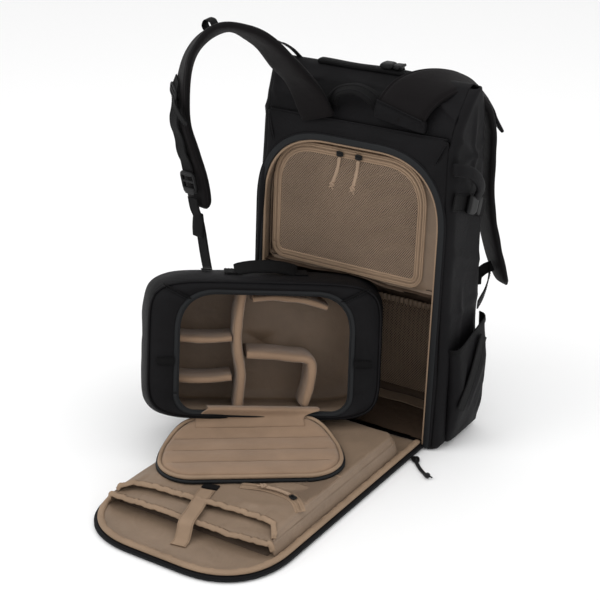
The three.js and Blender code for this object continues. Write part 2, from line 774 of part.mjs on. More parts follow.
function makePod() {
  const opening = (inset, bottom) => archShape(podOpeningHalfWidth - inset, bottom, podOpeningTop - inset,
    podOpeningCorner - inset, 0, 26);
  const liningInset = podWall + gap;
  const inner = liningInset + podLiningWall;
  const through = (inset) => uprightPlate(opening(inset, podWall + 3 + inset), -podBulge, inner + 3);
  const hollow = podLoft(podWall, podWall, podDepth - podWall);
  piece('pod_shell', cut(podLoft(0), hollow, through(0)), 'nylon', pod);
  piece('pod_lining', cut(podLoft(liningInset, liningInset, podDepth - liningInset),
    podLoft(inner, inner, podDepth - inner), through(0)), 'lining', pod);

  // Padded dividers: walls in x and z that reach from just behind the opening to the rear lining.
  const taper = 0.4 * podBulge + 0.8;
  const rear = podDepth - inner - gap;
  const low = inner + gap + taper;
  const high = podHeight - inner - gap - taper;
  const left = -podWidth / 2 + inner + gap + taper;
  const half = dividerThickness / 2;
  const mainX = mainDividerPlace;
  const wall = (points, front = inner + dividerSetback, thickness = dividerThickness) => {
    const route = routeThrough(points.map(([x, z]) => ({ at: [x, 0, z] })));
    const count = 3 * (points.length - 1);
    const near = [];
    const far = [];
    for (let i = 0; i <= count; i += 1) {
      const at = route.getPoint(i / count);
      const along = route.getTangent(i / count);
      near.push([at.x - along.z * thickness / 2, at.z + along.x * thickness / 2]);
      far.unshift([at.x + along.z * thickness / 2, at.z - along.x * thickness / 2]);
    }
    const outline = [...near, ...far].map(([x, z]) => new THREE.Vector2(x, z));
    return uprightPlate(new THREE.Shape(outline), front, rear);
  };
  piece('divider_main', wall([[mainX, low], [mainX + 3, 0.3 * podHeight], [mainX - 4, 0.62 * podHeight],
    [mainX + 2, high]]), 'padding', pod);
  const shelfEnd = mainX - half - 5;
  for (const [name, rise] of Object.entries(shelfHeights)) {
    piece(name, wall([[left, rise * podHeight], [0.6 * left + 0.4 * shelfEnd, rise * podHeight - 3],
      [shelfEnd, rise * podHeight]], inner + dividerSetback + 6), 'padding', pod);
  }
  const cornerX = cornerDividerPlace;
  const cornerZ = cornerDividerHeight * podHeight;
  const level = wall([[mainX + half + 4, cornerZ + 4], [0.5 * (mainX + cornerX), cornerZ + 2],
    [cornerX, cornerZ - 2]]);
  const upright = wall([[cornerX + 1, cornerZ + 2], [cornerX, 0.5 * cornerZ], [cornerX - 9, low + 1.5]]);
  piece('divider_corner', geometryOf(solidOf(level).add(solidOf(upright))), 'padding', pod);
  const flapRoute = [[mainX + half + 6, 0.83 * podHeight], [30, 0.85 * podHeight], [88, 0.80 * podHeight]];
  const flap = wall(flapRoute, inner + dividerSetback - 4, 0.5 * dividerThickness);
  piece('divider_flap', flap, 'padding', pod);

  // The carrying handle and the zip slider on top, and the two side tabs on the front face.
  const topAt = podHeight + podBulge;
  const handle = [[-44, 0], [-38, 4.5], [-20, 9.5], [4, 11], [24, 9.5], [40, 4.5], [46, 0]]
    .map(([x, up]) => ({
      at: [x, 0.5 * podDepth, topAt + up + webbingThickness / 2 + gap],
      faces: [0, 90],
      width: webbingWidth,
      thickness: webbingThickness,
    }));
  piece('pod_handle', bandAlong(handle, 12), 'webbing', pod);
  const slider = piece('pod_zip_slider', block(2 * sliderLength, sliderWidth, sliderHeight), 'hardware', pod);
  slider.position.set(-84, 0.5 * podDepth - 2, topAt + gap + sliderHeight / 2);
  for (const [side, x] of [['left', -1], ['right', 1]]) {
    const tab = piece(`pod_tab_${side}`, block(26, 11, tabThickness, 0.08), 'webbing', pod);
    tab.rotation.x = Math.PI / 2;
    tab.position.set(x * (podOpeningHalfWidth + 17), -tabThickness / 2 - gap, 0.42 * podHeight);
  }
}

// The pod's lid folded down onto the pockets: a black flange with a tan pad on it.
function lidShape(inset) {
  const shape = new THREE.Shape();
  const half = lidHalfWidth - inset;
  const near = -lidLength + inset;
  const far = lidFarReach - inset;
  const r = lidCorner - inset;
  const q = lidFarCorner;
  shape.absarc(half - r, near + r, r, -Math.PI / 2, 0);
  shape.absarc(half - q, far - q, q, 0, Math.PI / 2);
  shape.absarc(-half + q, far - q, q, Math.PI / 2, Math.PI);
  shape.absarc(-half + r, near + r, r, Math.PI, 1.5 * Math.PI);
  return shape;
}

function makeLid() {
  const low = sleeveFloor + sleeveHeight + tabletHeight + 2 * gap;
  const inLid = lid.matrixWorld.clone().invert();
  const podHere = podSpace(1).applyMatrix4(inLid);
  piece('pod_lid', cut(levelPlate(lidShape(0), low, low + lidFlange), podHere), 'nylon', lid);
  const pad = loft([[lidBorder, 0], [lidBorder - 1.5, 0.3], [lidBorder + 1, 0.8], [lidBorder + 5, 1]]
    .map(([inset, rise]) => lidShape(inset).getPoints(5)
      .map((p) => new THREE.Vector3(p.x, p.y, low + lidFlange + gap + rise * lidPad))));
  piece('pod_lid_pad', cut(pad, podHere), 'padding', lid);
}

// The shoulder straps

// Each row: across, out and height as shares of the bag's half width, depth and height, bearing and
// rise of the outer face in degrees, and width and thickness as shares of the pad's.
const leftPadRoute = [
  [-0.33, -0.345, 0.880, 180, 4, 0.80, 0.75],
  [-0.42, -0.433, 0.970, 166, 20, 0.96, 0.95],
  [-0.50, -0.600, 1.032, 164, 27, 1.00, 1.00],
  [-0.61, -0.733, 1.092, 161, 39, 0.98, 1.00],
  [-0.73, -0.833, 1.122, 173, 58, 0.98, 0.95],
  [-0.92, -0.900, 1.132, 243, 70, 0.96, 0.90],
  [-1.17, -0.900, 1.086, -60, 46, 0.86, 1.00],
  [-1.35, -0.847, 1.017, -45, 22, 0.76, 1.00],
  [-1.48, -0.767, 0.918, -32, 10, 0.68, 1.00],
  [-1.545, -0.700, 0.828, -22, 0, 0.66, 1.00],
  [-1.52, -0.633, 0.742, -17, -5, 0.68, 1.00],
  [-1.48, -0.593, 0.662, -14, 0, 0.74, 0.95],
  [-1.47, -0.560, 0.600, -14, 2, 0.72, 0.85],
  [-1.47, -0.548, 0.572, -14, 2, 0.40, 0.60],
];
const rightPadRoute = [
  [0.46, -0.345, 0.900, 0, 0, 1.12, 0.75],
  [0.48, -0.315, 0.938, 5, 25, 1.10, 0.95],
  [0.53, -0.215, 0.972, 15, 45, 1.06, 1.00],
  [0.61, -0.070, 0.992, 35, 66, 1.02, 1.00],
  [0.73, 0.110, 0.998, 80, 76, 1.00, 0.95],
  [0.87, 0.330, 0.962, 120, 52, 1.00, 0.95],
  [0.885, 0.500, 0.880, 135, 16, 1.00, 1.00],
  [0.875, 0.570, 0.800, 135, 0, 1.00, 1.00],
  [0.875, 0.580, 0.690, 135, -1, 1.00, 1.00],
  [0.91, 0.595, 0.590, 135, -3, 1.00, 1.00],
  [0.97, 0.620, 0.500, 135, -6, 0.97, 0.95],
  [1.04, 0.650, 0.425, 135, -8, 0.80, 0.80],
  [1.08, 0.670, 0.395, 135, -8, 0.40, 0.60],
];

function padStations(route) {
  const stations = route.map(([across, out, rise, bearing, lift, width, thickness]) => ({
    at: [across * bagHalfWidth, out * bagDepth, rise * bagHeight],
    faces: [bearing, lift],
    width: width * padWidth,
    thickness: thickness * padThickness,
  }));
  stations[0].at[1] = bagSection(stations[0].at[2]).front - stations[0].thickness / 2 - 7 * gap;
  return stations;
}

// The place and axes on a band's outer face, at a station number that may lie between two rows.
function onBand(stations, place) {
  const route = routeThrough(stations);
  const t = place / (stations.length - 1);
  const k = Math.min(Math.floor(place), stations.length - 2);
  const along = route.getTangent(t);
  const outward = outerFace(stations[k]).lerp(outerFace(stations[k + 1]), place - k);
  outward.addScaledVector(along, -outward.dot(along)).normalize();
  const across = new THREE.Vector3().crossVectors(outward, along).normalize();
  const half = THREE.MathUtils.lerp(stations[k].thickness, stations[k + 1].thickness, place - k) / 2;
  return { centre: route.getPoint(t), along, outward, across, half };
}

// Lays a moulded block on a band, its length along the band.
function seat(mesh, spot, out, aside = 0) {
  mesh.position.copy(spot.centre)
    .addScaledVector(spot.outward, spot.half + gap + out)
    .addScaledVector(spot.across, aside);
  mesh.quaternion.setFromRotationMatrix(new THREE.Matrix4().makeBasis(spot.along, spot.across, spot.outward));
}

function makeLeftStrap() {
  const stations = padStations(leftPadRoute);
  piece('strap_left_pad', bandAlong(stations, 36), 'nylon', backpack);

  // Webbing runs down the outer face of the pad to the ladder buckle.
  const aside = -2;
  const daisy = [];
  for (let place = 7.6; place <= 10.6; place += 0.5) {
    const spot = onBand(stations, place);
    const at = spot.centre.clone()
      .addScaledVector(spot.outward, spot.half + gap + 1.5 + webbingThickness / 2)
      .addScaledVector(spot.across, aside);
    const bearing = THREE.MathUtils.radToDeg(Math.atan2(spot.outward.x, -spot.outward.y));
    const rise = THREE.MathUtils.radToDeg(Math.asin(spot.outward.z));
    daisy.push({
      at: at.toArray(),
      faces: [bearing, rise],
      width: webbingWidth,
      thickness: webbingThickness,
    });
  }
  piece('strap_left_daisy', bandAlong(daisy, 12), 'webbing', backpack);
  const buckleHeight = 8;
  const buckle = piece('strap_left_buckle', block(1.1 * buckleLength, 1.2 * webbingWidth, buckleHeight, 0.16),
    'hardware', backpack);
  seat(buckle, onBand(stations, 11.1), 0.8 + buckleHeight / 2, aside);
  const slider = piece('strap_left_slider', block(18, webbingWidth, 6, 0.16), 'hardware', backpack);
  seat(slider, onBand(stations, 7.9), webbingThickness + 2.4 + 3, aside);
  const crest = piece('strap_left_crest_loop', block(18, narrowWebbing, 11, 0.16), 'webbing', backpack);
  seat(crest, onBand(stations, 5.45), 5.5 + 2.2);

  // A loose webbing end lies across the pad, from the upper slider towards its inner edge.
  // Each row: station on the pad, distance off its face, and shift across it.
  const tailRows = [
    [8.22, 14, 3],
    [8.45, 16, 12],
    [8.75, 13, 25],
    [9.05, 8, 34],
  ];
  const tail = tailRows.map(([place, out, side]) => {
    const spot = onBand(stations, place);
    const at = spot.centre.clone()
      .addScaledVector(spot.outward, out)
      .addScaledVector(spot.across, side + aside);
    return { at: at.toArray(), faces: [-22, 10], width: narrowWebbing, thickness: webbingThickness };
  });
  piece('strap_left_tail', bandAlong(tail, 8), 'webbing', backpack);

  // The lower webbing hangs from the buckle and comes back to the bag's bottom corner.
  const face = -8;
  const lowerRoute = [[-1.49, -0.645, 0.607], [-1.485, -0.620, 0.570], [-1.475, -0.560, 0.520],
    [-1.485, -0.440, 0.370], [-1.440, -0.340, 0.250], [-1.270, -0.240, 0.160], [-1.08, -0.180, 0.110]];
  const lower = lowerRoute.map(([across, out, rise], i) => ({
    at: [across * bagHalfWidth, out * bagDepth, rise * bagHeight],
    faces: [face - 18 * Math.max(0, i - 3), 0],
    width: 0.85 * webbingWidth,
    thickness: webbingThickness,
  }));
  const cornerRise = 0.075 * bagHeight;
  const onCorner = { ...lower[6], faces: [-90, 0] };
  onCorner.at = [bagSection(cornerRise).left - gap - webbingThickness / 2, -0.16 * bagDepth, cornerRise];
  lower.push(onCorner);
  piece('strap_left_webbing', bandAlong(lower, 18), 'webbing', backpack);
  const keeper = piece('strap_left_keeper', block(38, 24, 4, 0.2), 'webbing', backpack);
  seat(keeper, onBand(lower, 2.0), 3.4, -1);

  // The load lifter ties the pad back to the ridge.
  const start = onBand(stations, 2.8);
  const lifted = start.centre.clone().addScaledVector(start.outward, start.half + gap + 1.3);
  const lifter = [[-0.67, -0.400, 1.075], [-0.73, -0.120, 1.040], [-0.75, 0.060, 1.006]]
    .map(([across, out, rise]) => ({
      at: [across * bagHalfWidth, out * bagDepth, rise * bagHeight],
      faces: [150, 70],
      width: 0.6 * narrowWebbing,
      thickness: webbingThickness,
    }));
  lifter.unshift({ ...lifter[0], at: lifted.toArray(), faces: [164, 35] });
  piece('load_lifter', bandAlong(lifter, 10), 'webbing', backpack);
}

function makeRightStrap() {
  // The pad bends over the ridge, and is pressed flat where it lies on it.
  const stations = padStations(rightPadRoute);
  const clearance = 1.5 * gap;
  const ridge = bagLoft(-clearance, ridgeFoot * bagHeight, bagHeight + clearance);
  piece('strap_right_pad', cut(bandAlong(stations, 36), ridge), 'nylon', backpack);
  const lower = [[0.970, 0.585, 0.455], [0.974, 0.556, 0.415], [0.992, 0.430, 0.385], [1.004, 0.268, 0.365]]
    .map(([across, out, rise]) => ({
      at: [across * bagHalfWidth, out * bagDepth, rise * bagHeight],
      faces: [120, 0],
      width: 0.75 * webbingWidth,
      thickness: webbingThickness,
    }));
  piece('strap_right_webbing', bandAlong(lower, 10), 'webbing', backpack);
}

// The bag's right side: an upper strap with its buckle, and the bottle pocket with its own strap.
function makeRightSide() {
  const outside = (z) => bagSection(z).right + 2 * gap;
  const upper = [[-52, 0.72], [0, 0.685], [42, 0.65]].map(([y, rise]) => ({
    at: [outside(rise * bagHeight) + webbingThickness / 2 + gap, y, rise * bagHeight],
    faces: [90, 0],
    width: webbingWidth,
    thickness: webbingThickness,
  }));
  piece('side_strap', bandAlong(upper, 6), 'webbing', backpack);
  const buckle = piece('side_buckle', block(buckleLength + 8, webbingWidth + 3, sideBuckleHeight, 0.14),
    'hardware', backpack);
  seat(buckle, onBand(upper, 1), gap + sideBuckleHeight / 2);

  // Each row: height as a share of the bag's, and fullness as a share of the pocket's.
  const rows = [
    [0.020, 0.35],
    [0.090, 0.85],
    [0.200, 1.00],
    [0.300, 0.80],
  ];
  const last = rows.length - 1;
  const cup = (thin) => loft(rows.map(([rise, full], i) => {
    const lifts = thin > 0 ? [bottleWall, ...Array(last - 1).fill(0), cutPast] : Array(last + 1).fill(0);
    const inside = outside(rise * bagHeight) + gap + thin;
    const slope = bottleMouthSlope * (i / last) ** 2;
    return roundedRing(inside, outside(rise * bagHeight) + full * bottleFullness - thin, bottleNear + thin,
      bottleFar - thin, 8, rise * bagHeight + lifts[i], 2)
      .map((p) => new THREE.Vector3(p.x, p.y, p.z + slope * (p.y - bottleNear)));
  }));
  piece('side_pocket', cut(cup(0), cup(bottleWall)), 'nylon', backpack);
  const diagonal = [[0.12, -46, 0.83], [0.2, -20, 1.0], [0.30, 16, 0.93]].map(([rise, y, full]) => ({
    at: [outside(rise * bagHeight) + full * bottleFullness + webbingThickness / 2 + 1.6, y, rise * bagHeight],
    faces: [90, 0],
    width: webbingWidth,
    thickness: webbingThickness,
  }));
  piece('side_pocket_strap', bandAlong(diagonal, 6), 'webbing', backpack);
}

makeBag();
makeCompartment();
makeLowerPocket();
makeTop();
makeDoor();
makePockets();
makePod();
makeLid();
makeLeftStrap();
makeRightStrap();
makeRightSide();

export default backpack;
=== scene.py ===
# %% [markdown]
# # A camera backpack, standing open
# The bag stands on its base. Its back panel is unzipped and lies on the floor as a door, and the
# padded camera pod stands on that door with its own lid folded down on the pockets. The packed
# model gives every size and place. This lesson dresses it: each panel of cloth becomes a surface
# that is worked out with numpy, and each finish a small tree of shader nodes.

import math

import bpy
import numpy as np
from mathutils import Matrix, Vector


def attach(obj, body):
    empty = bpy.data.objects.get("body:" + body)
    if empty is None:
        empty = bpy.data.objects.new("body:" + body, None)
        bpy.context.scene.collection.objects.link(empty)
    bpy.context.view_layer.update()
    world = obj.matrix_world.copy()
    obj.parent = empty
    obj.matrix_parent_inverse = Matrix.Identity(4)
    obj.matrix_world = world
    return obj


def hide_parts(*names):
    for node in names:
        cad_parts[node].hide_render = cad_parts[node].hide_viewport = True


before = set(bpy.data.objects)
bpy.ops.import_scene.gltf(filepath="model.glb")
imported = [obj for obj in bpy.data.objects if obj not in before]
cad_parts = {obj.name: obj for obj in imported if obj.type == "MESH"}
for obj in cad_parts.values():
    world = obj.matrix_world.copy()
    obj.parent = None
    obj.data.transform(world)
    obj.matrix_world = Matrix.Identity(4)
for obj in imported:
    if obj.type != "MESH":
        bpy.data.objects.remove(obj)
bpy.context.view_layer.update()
print("nodes in the frame:", len(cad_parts))

# %% [markdown]
# ## Camera and light
# The camera stands to the right of the bag and a little above it, as the picture was taken. The
# studio is a pale floor under a bright sky, with a large soft lamp from the upper left and a weaker
# one from the right, so that black cloth still shows its folds.

# %% Camera
SCENE = bpy.context.scene
EYE = Vector((1.0035, -1.7222, 1.0404))
LOOK_AT = Vector((-0.0555, -0.0950, 0.1957))
FOCAL_SHARE = 2.4114      # focal length as a share of the picture's width
SENSOR = 36.0

camera = bpy.data.objects.new("camera", bpy.data.cameras.new("camera"))
SCENE.collection.objects.link(camera)
camera.location = EYE
camera.rotation_euler = (LOOK_AT - EYE).to_track_quat("-Z", "Y").to_euler()
camera.data.sensor_width = SENSOR
camera.data.lens = FOCAL_SHARE * SENSOR
SCENE.camera = camera
print("distance to the object:", round((LOOK_AT - EYE).length, 3))

# %% Floor and lamps
SKY = 0.95
LAMPS = {   # name: place, size, power
    "key": ((-1.3, -1.6, 2.1), 1.6, 15.0),
    "fill": ((2.0, -0.9, 1.3), 1.8, 3.0),
    "top": ((0.2, 0.6, 2.3), 1.4, 8.0),
}


def make_floor():
    """A flat square under the object, pale and rough."""
    side = 6.0
    mesh = bpy.data.meshes.new("floor")
    corners = [(-side, -side, 0), (side, -side, 0), (side, side, 0), (-side, side, 0)]
    mesh.from_pydata(corners, [], [(0, 1, 2, 3)])
    floor = bpy.data.objects.new("floor", mesh)
    SCENE.collection.objects.link(floor)
    material = bpy.data.materials.new("pale_floor")
    material.use_nodes = True
    shader = material.node_tree.nodes["Principled BSDF"]
    shader.inputs["Base Color"].default_value = (0.94, 0.94, 0.94, 1)
    shader.inputs["Roughness"].default_value = 0.9
    mesh.materials.append(material)


def make_lamps():
    for name, (place, size, power) in LAMPS.items():
        lamp = bpy.data.objects.new(name, bpy.data.lights.new(name, "AREA"))
        SCENE.collection.objects.link(lamp)
        lamp.data.size = size
        lamp.data.energy = power
        lamp.location = place
        lamp.rotation_euler = (Vector((0, -0.15, 0.2)) - Vector(place)).to_track_quat("-Z", "Y").to_euler()


make_floor()
make_lamps()
SCENE.world = bpy.data.worlds.new("sky")
SCENE.world.use_nodes = True
SCENE.world.node_tree.nodes["Background"].inputs[0].default_value = (1, 1, 1, 1)
SCENE.world.node_tree.nodes["Background"].inputs[1].default_value = SKY
SCENE.view_settings.view_transform = "Standard"
print("lamps:", ", ".join(LAMPS))

# %% [markdown]
# ## Finishes
# Every cloth here is a weave, so one function makes them all: two fine waves across each other for
# the threads, a soft noise for the unevenness of the dye, and a bump from both. The waves follow the
# piece's own UV map, which is in metres, so the weave keeps its scale on every panel.

# %% Cloth material
WAVE_PITCH = 0.314        # pitch in metres of a wave texture at scale 1


def node(tree, kind, **values):
    """Adds a shader node and sets its inputs by name, or its properties."""
    new = tree.nodes.new(kind)
    for key, value in values.items():
        if key in new.inputs:
            new.inputs[key].default_value = value
        else:
            setattr(new, key, value)
    return new


def cloth(name, color, rough, thread, bump=0.3, sheen=0.0, uneven=0.12, twill=0.0, crumple=0.0, gloss=0.3):
    """A woven cloth: thread is the pitch in metres, uneven the spread of the dye."""
    material = bpy.data.materials.new(name)
    material.use_nodes = True
    tree = material.node_tree
    shader = tree.nodes["Principled BSDF"]
    shader.inputs["Roughness"].default_value = rough
    shader.inputs["Sheen Weight"].default_value = sheen
    shader.inputs["Sheen Roughness"].default_value = 0.45
    shader.inputs["Specular IOR Level"].default_value = gloss
    link = tree.links.new
    uv = node(tree, "ShaderNodeUVMap", uv_map="weave")
    place = node(tree, "ShaderNodeTexCoord")
    turn = node(tree, "ShaderNodeMapping", Rotation=(0, 0, twill))
    link(uv.outputs["UV"], turn.inputs["Vector"])
    waves = []
    for direction in ("X", "Y"):
        wave = node(tree, "ShaderNodeTexWave", bands_direction=direction, Scale=WAVE_PITCH / thread,
                    Distortion=0.4)
        link(turn.outputs["Vector"], wave.inputs["Vector"])
        waves.append(wave)
    weave = node(tree, "ShaderNodeMath", operation="MULTIPLY")
    link(waves[0].outputs["Fac"], weave.inputs[0])
    link(waves[1].outputs["Fac"], weave.inputs[1])
    dye = node(tree, "ShaderNodeTexNoise", Scale=14.0, Detail=5.0, Roughness=0.6)
    link(place.outputs["Object"], dye.inputs["Vector"])
    shade = node(tree, "ShaderNodeMapRange", **{"From Min": 0.3, "From Max": 0.7, "To Min": 1 - uneven,
                                                 "To Max": 1 + uneven})
    link(dye.outputs["Fac"], shade.inputs["Value"])
    threads = node(tree, "ShaderNodeMapRange", **{"To Min": 0.86, "To Max": 1.1})
    link(weave.outputs["Value"], threads.inputs["Value"])
    both = node(tree, "ShaderNodeMath", operation="MULTIPLY")
    link(shade.outputs["Result"], both.inputs[0])
    link(threads.outputs["Result"], both.inputs[1])
    tint = node(tree, "ShaderNodeVectorMath", operation="SCALE")
    tint.inputs[0].default_value = color
    link(both.outputs["Value"], tint.inputs["Scale"])
    link(tint.outputs["Vector"], shader.inputs["Base Color"])
    relief = node(tree, "ShaderNodeBump", Strength=bump, Distance=0.5 * thread)
    link(weave.outputs["Value"], relief.inputs["Height"])
    if crumple > 0:
        folds = node(tree, "ShaderNodeTexNoise", Scale=38.0, Detail=4.0, Distortion=0.6)
        link(place.outputs["Object"], folds.inputs["Vector"])
        soft = node(tree, "ShaderNodeBump", Strength=crumple, Distance=0.004)
        link(folds.outputs["Fac"], soft.inputs["Height"])
        link(soft.outputs["Normal"], relief.inputs["Normal"])
    link(relief.outputs["Normal"], shader.inputs["Normal"])
    return material


def moulded(name, color, rough):
    """Moulded plastic: one colour with a faint grain in its surface."""
    material = bpy.data.materials.new(name)
    material.use_nodes = True
    tree = material.node_tree
    shader = tree.nodes["Principled BSDF"]
    shader.inputs["Base Color"].default_value = (*color, 1)
    shader.inputs["Specular IOR Level"].default_value = 0.22
    place = node(tree, "ShaderNodeTexCoord")
    grain = node(tree, "ShaderNodeTexNoise", Scale=900.0, Detail=2.0)
    tree.links.new(place.outputs["Object"], grain.inputs["Vector"])
    spread = node(tree, "ShaderNodeMapRange", **{"To Min": rough - 0.06, "To Max": rough + 0.08})
    tree.links.new(grain.outputs["Fac"], spread.inputs["Value"])
    tree.links.new(spread.outputs["Result"], shader.inputs["Roughness"])
    relief = node(tree, "ShaderNodeBump", Strength=0.15, Distance=0.0004)
    tree.links.new(grain.outputs["Fac"], relief.inputs["Height"])
    tree.links.new(relief.outputs["Normal"], shader.inputs["Normal"])
    return material


# %% The finishes of this bag
NYLON = (0.0058, 0.0054, 0.0062)
TAN = (0.235, 0.165, 0.112)
LOOKS = {
    "nylon": cloth("black_nylon", NYLON, 0.68, 0.0006, uneven=0.25, crumple=0.4, gloss=0.12),
    "strap_nylon": cloth("strap_nylon", (0.0070, 0.0058, 0.0062), 0.72, 0.0006, sheen=0.02, crumple=0.3,
                         gloss=0.08),
    "webbing": cloth("black_webbing", (0.0042, 0.0040, 0.0043), 0.7, 0.0012, bump=0.7, twill=0.7, gloss=0.12),
    "zip": cloth("coated_tape", (0.0095, 0.0105, 0.0118), 0.5, 0.0009, bump=0.25, gloss=0.2),
    "lining": cloth("tan_taffeta", TAN, 0.42, 0.0005, sheen=0.05, crumple=0.4, gloss=0.35),
    # shaded_lining is the tan taffeta darkened with painted shade, for lining that lies in shadow inside the
    # bag and the pockets
    "shaded_lining": cloth("shaded_taffeta", (0.075, 0.049, 0.033), 0.6, 0.0005, crumple=0.5, gloss=0.2),
    "padding": cloth("tan_brushed", (0.285, 0.190, 0.125), 0.85, 0.0008, sheen=0.2, crumple=0.3, gloss=0.15),
    "binding": cloth("tan_binding", (0.325, 0.225, 0.150), 0.7, 0.001, bump=0.6, crumple=0.3, gloss=0.2),
    "mesh": cloth("tan_net", (0.44, 0.32, 0.23), 0.6, 0.0008, gloss=0.2),
    "cord": cloth("tan_braid", (0.42, 0.30, 0.21), 0.7, 0.0012, bump=0.9, twill=0.785, gloss=0.2),
    "black_cord": cloth("black_braid", (0.008, 0.008, 0.009), 0.55, 0.0012, bump=0.9, twill=0.785),
    "hardware": moulded("black_acetal", (0.0035, 0.0035, 0.0038), 0.5),
    "metal": moulded("dark_metal", (0.02, 0.02, 0.022), 0.3),
}
print("finishes:", len(LOOKS))

# %% [markdown]
# ## Surfaces from grids
# Each panel is a grid of points: rows one way, columns the other. `surface` joins the grid into
# quads, gives it a UV map whose unit is the metre along the cloth, turns its faces to the side that
# it is asked for, and gives the cloth its thickness with Solidify, so that no panel is paper thin.

# %% Grid helpers
def lerp(a, b, t):
    return a + (b - a) * t


def unit(vectors):
    """Vectors scaled to length one."""
    return vectors / np.maximum(np.linalg.norm(vectors, axis=-1, keepdims=True), 1e-12)


def lengths(points):
    """Distance along a row of points, from 0 at the first."""
    steps = np.linalg.norm(np.diff(points, axis=0), axis=1)
    return np.concatenate([[0.0], np.cumsum(steps)])


def resample(points, count, closed=False):
    """The same line with its points evenly spaced."""
    points = np.asarray(points, float)
    if closed:
        points = np.vstack([points, points[:1]])
    at = lengths(points)
    wanted = np.linspace(0, at[-1], count + 1)[:-1] if closed else np.linspace(0, at[-1], count)
    return np.stack([np.interp(wanted, at, points[:, k]) for k in range(points.shape[1])], 1)


def smooth(rows, count):
    """A Catmull-Rom curve through rows of values: each span is the cubic whose slope at a row is
    half the difference between that row's neighbours."""
    rows = np.asarray(rows, float)
    t = np.linspace(0, len(rows) - 1, count)
    k = np.minimum(t.astype(int), len(rows) - 2)
    f = (t - k)[:, None]
    padded = np.vstack([2 * rows[0] - rows[1], rows, 2 * rows[-1] - rows[-2]])
    a, b, c, d = (padded[k + i] for i in range(4))
    return 0.5 * (2 * b + (c - a) * f + (2 * a - 5 * b + 4 * c - d) * f ** 2
                  + (3 * b - a - 3 * c + d) * f ** 3)


def mesh_object(name, points, faces, look, uvs):
    """Puts arrays of points and of quads or triangles into a mesh object that rides on the bag."""
    mesh = bpy.data.meshes.new(name)
    corners = np.concatenate([f.ravel() for f in faces]).astype(np.int32)
    sizes = np.concatenate([np.full(len(f), f.shape[1]) for f in faces])
    starts = np.concatenate([[0], np.cumsum(sizes)[:-1]]).astype(np.int32)
    mesh.vertices.add(len(points))
    mesh.vertices.foreach_set("co", np.asarray(points, np.float32).ravel())
    mesh.loops.add(len(corners))
    mesh.loops.foreach_set("vertex_index", corners)
    mesh.polygons.add(len(sizes))
    mesh.polygons.foreach_set("loop_start", starts)
    layer = mesh.uv_layers.new(name="weave")
    layer.data.foreach_set("uv", np.asarray(uvs, np.float32).ravel())
    mesh.update(calc_edges=True)
    mesh.shade_smooth()
    mesh.materials.append(LOOKS[look])
    piece = bpy.data.objects.new(name, mesh)
    SCENE.collection.objects.link(piece)
    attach(piece, "root")
    return piece


def surface(name, grid, look, out=None, away=None, wrap=False, wall=0.0, caps=False, replaces=()):
    """A grid of points (rows, columns, 3) as one sheet of cloth. wrap closes each row on itself,
    caps closes the first and last rows with a fan. Faces look along out, or away from a point."""
    grid = np.asarray(grid, float)
    rows, cols = grid.shape[:2]
    index = np.arange(rows * cols).reshape(rows, cols)
    if wrap:
        index = np.concatenate([index, index[:, :1]], 1)
    quads = np.stack([index[:-1, :-1], index[:-1, 1:], index[1:, 1:], index[1:, :-1]], -1).reshape(-1, 4)
    points = grid.reshape(-1, 3)
    around = np.concatenate([grid, grid[:, :1]], 1) if wrap else grid
    u = np.cumsum(np.linalg.norm(np.diff(around, axis=1), axis=2), axis=1).mean(0)
    v = np.cumsum(np.linalg.norm(np.diff(grid, axis=0), axis=2), axis=0).mean(1)
    u, v = np.concatenate([[0], u]), np.concatenate([[0], v])
    uv = np.stack(np.meshgrid(u, v), -1)
    uvs = [np.stack([uv[:-1, :-1], uv[:-1, 1:], uv[1:, 1:], uv[1:, :-1]], 2).reshape(-1, 2)]
    a, b, d = (points[quads[:, i]] for i in (0, 1, 3))
    normals = np.cross(b - a, d - a)
    if out is None:
        side = a - np.asarray(away, float)
    else:
        side = np.broadcast_to(np.asarray(out, float), normals.shape)
    flip = np.sum(normals * side) < 0
    faces = [quads]
    if caps:
        middles = [points[index[0, :-1]].mean(0), points[index[-1, :-1]].mean(0)]
        points = np.vstack([points, middles])
        for end, centre in ((0, rows * cols), (-1, rows * cols + 1)):
            ring = index[end]
            fan = np.stack([np.full(len(ring) - 1, centre), ring[1:], ring[:-1]], 1)
            faces.append(fan if end == 0 else fan[:, ::-1])
            uvs.append(np.zeros((3 * len(fan), 2)) + uv[end, 0])
    if flip:
        faces = [f[:, ::-1] for f in faces]
        uvs = [uvs[0].reshape(-1, 4, 2)[:, ::-1].reshape(-1, 2)] + uvs[1:]
    piece = mesh_object(name, points, faces, look, np.concatenate(uvs))
    if wall > 0:
        shell = piece.modifiers.new("wall", "SOLIDIFY")
        shell.thickness = wall
        shell.offset = -1
    if replaces:
        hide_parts(*replaces)
    return piece


def ring_profile(sides, power=2.0):
    """A superellipse of half width and half height one, as (cos, sin) pairs raised to 2 / power."""
    turn = np.linspace(0, 2 * np.pi, sides, endpoint=False)
    c, s = np.cos(turn), np.sin(turn)
    return np.stack([np.sign(c) * np.abs(c) ** (2 / power), np.sign(s) * np.abs(s) ** (2 / power)], 1)


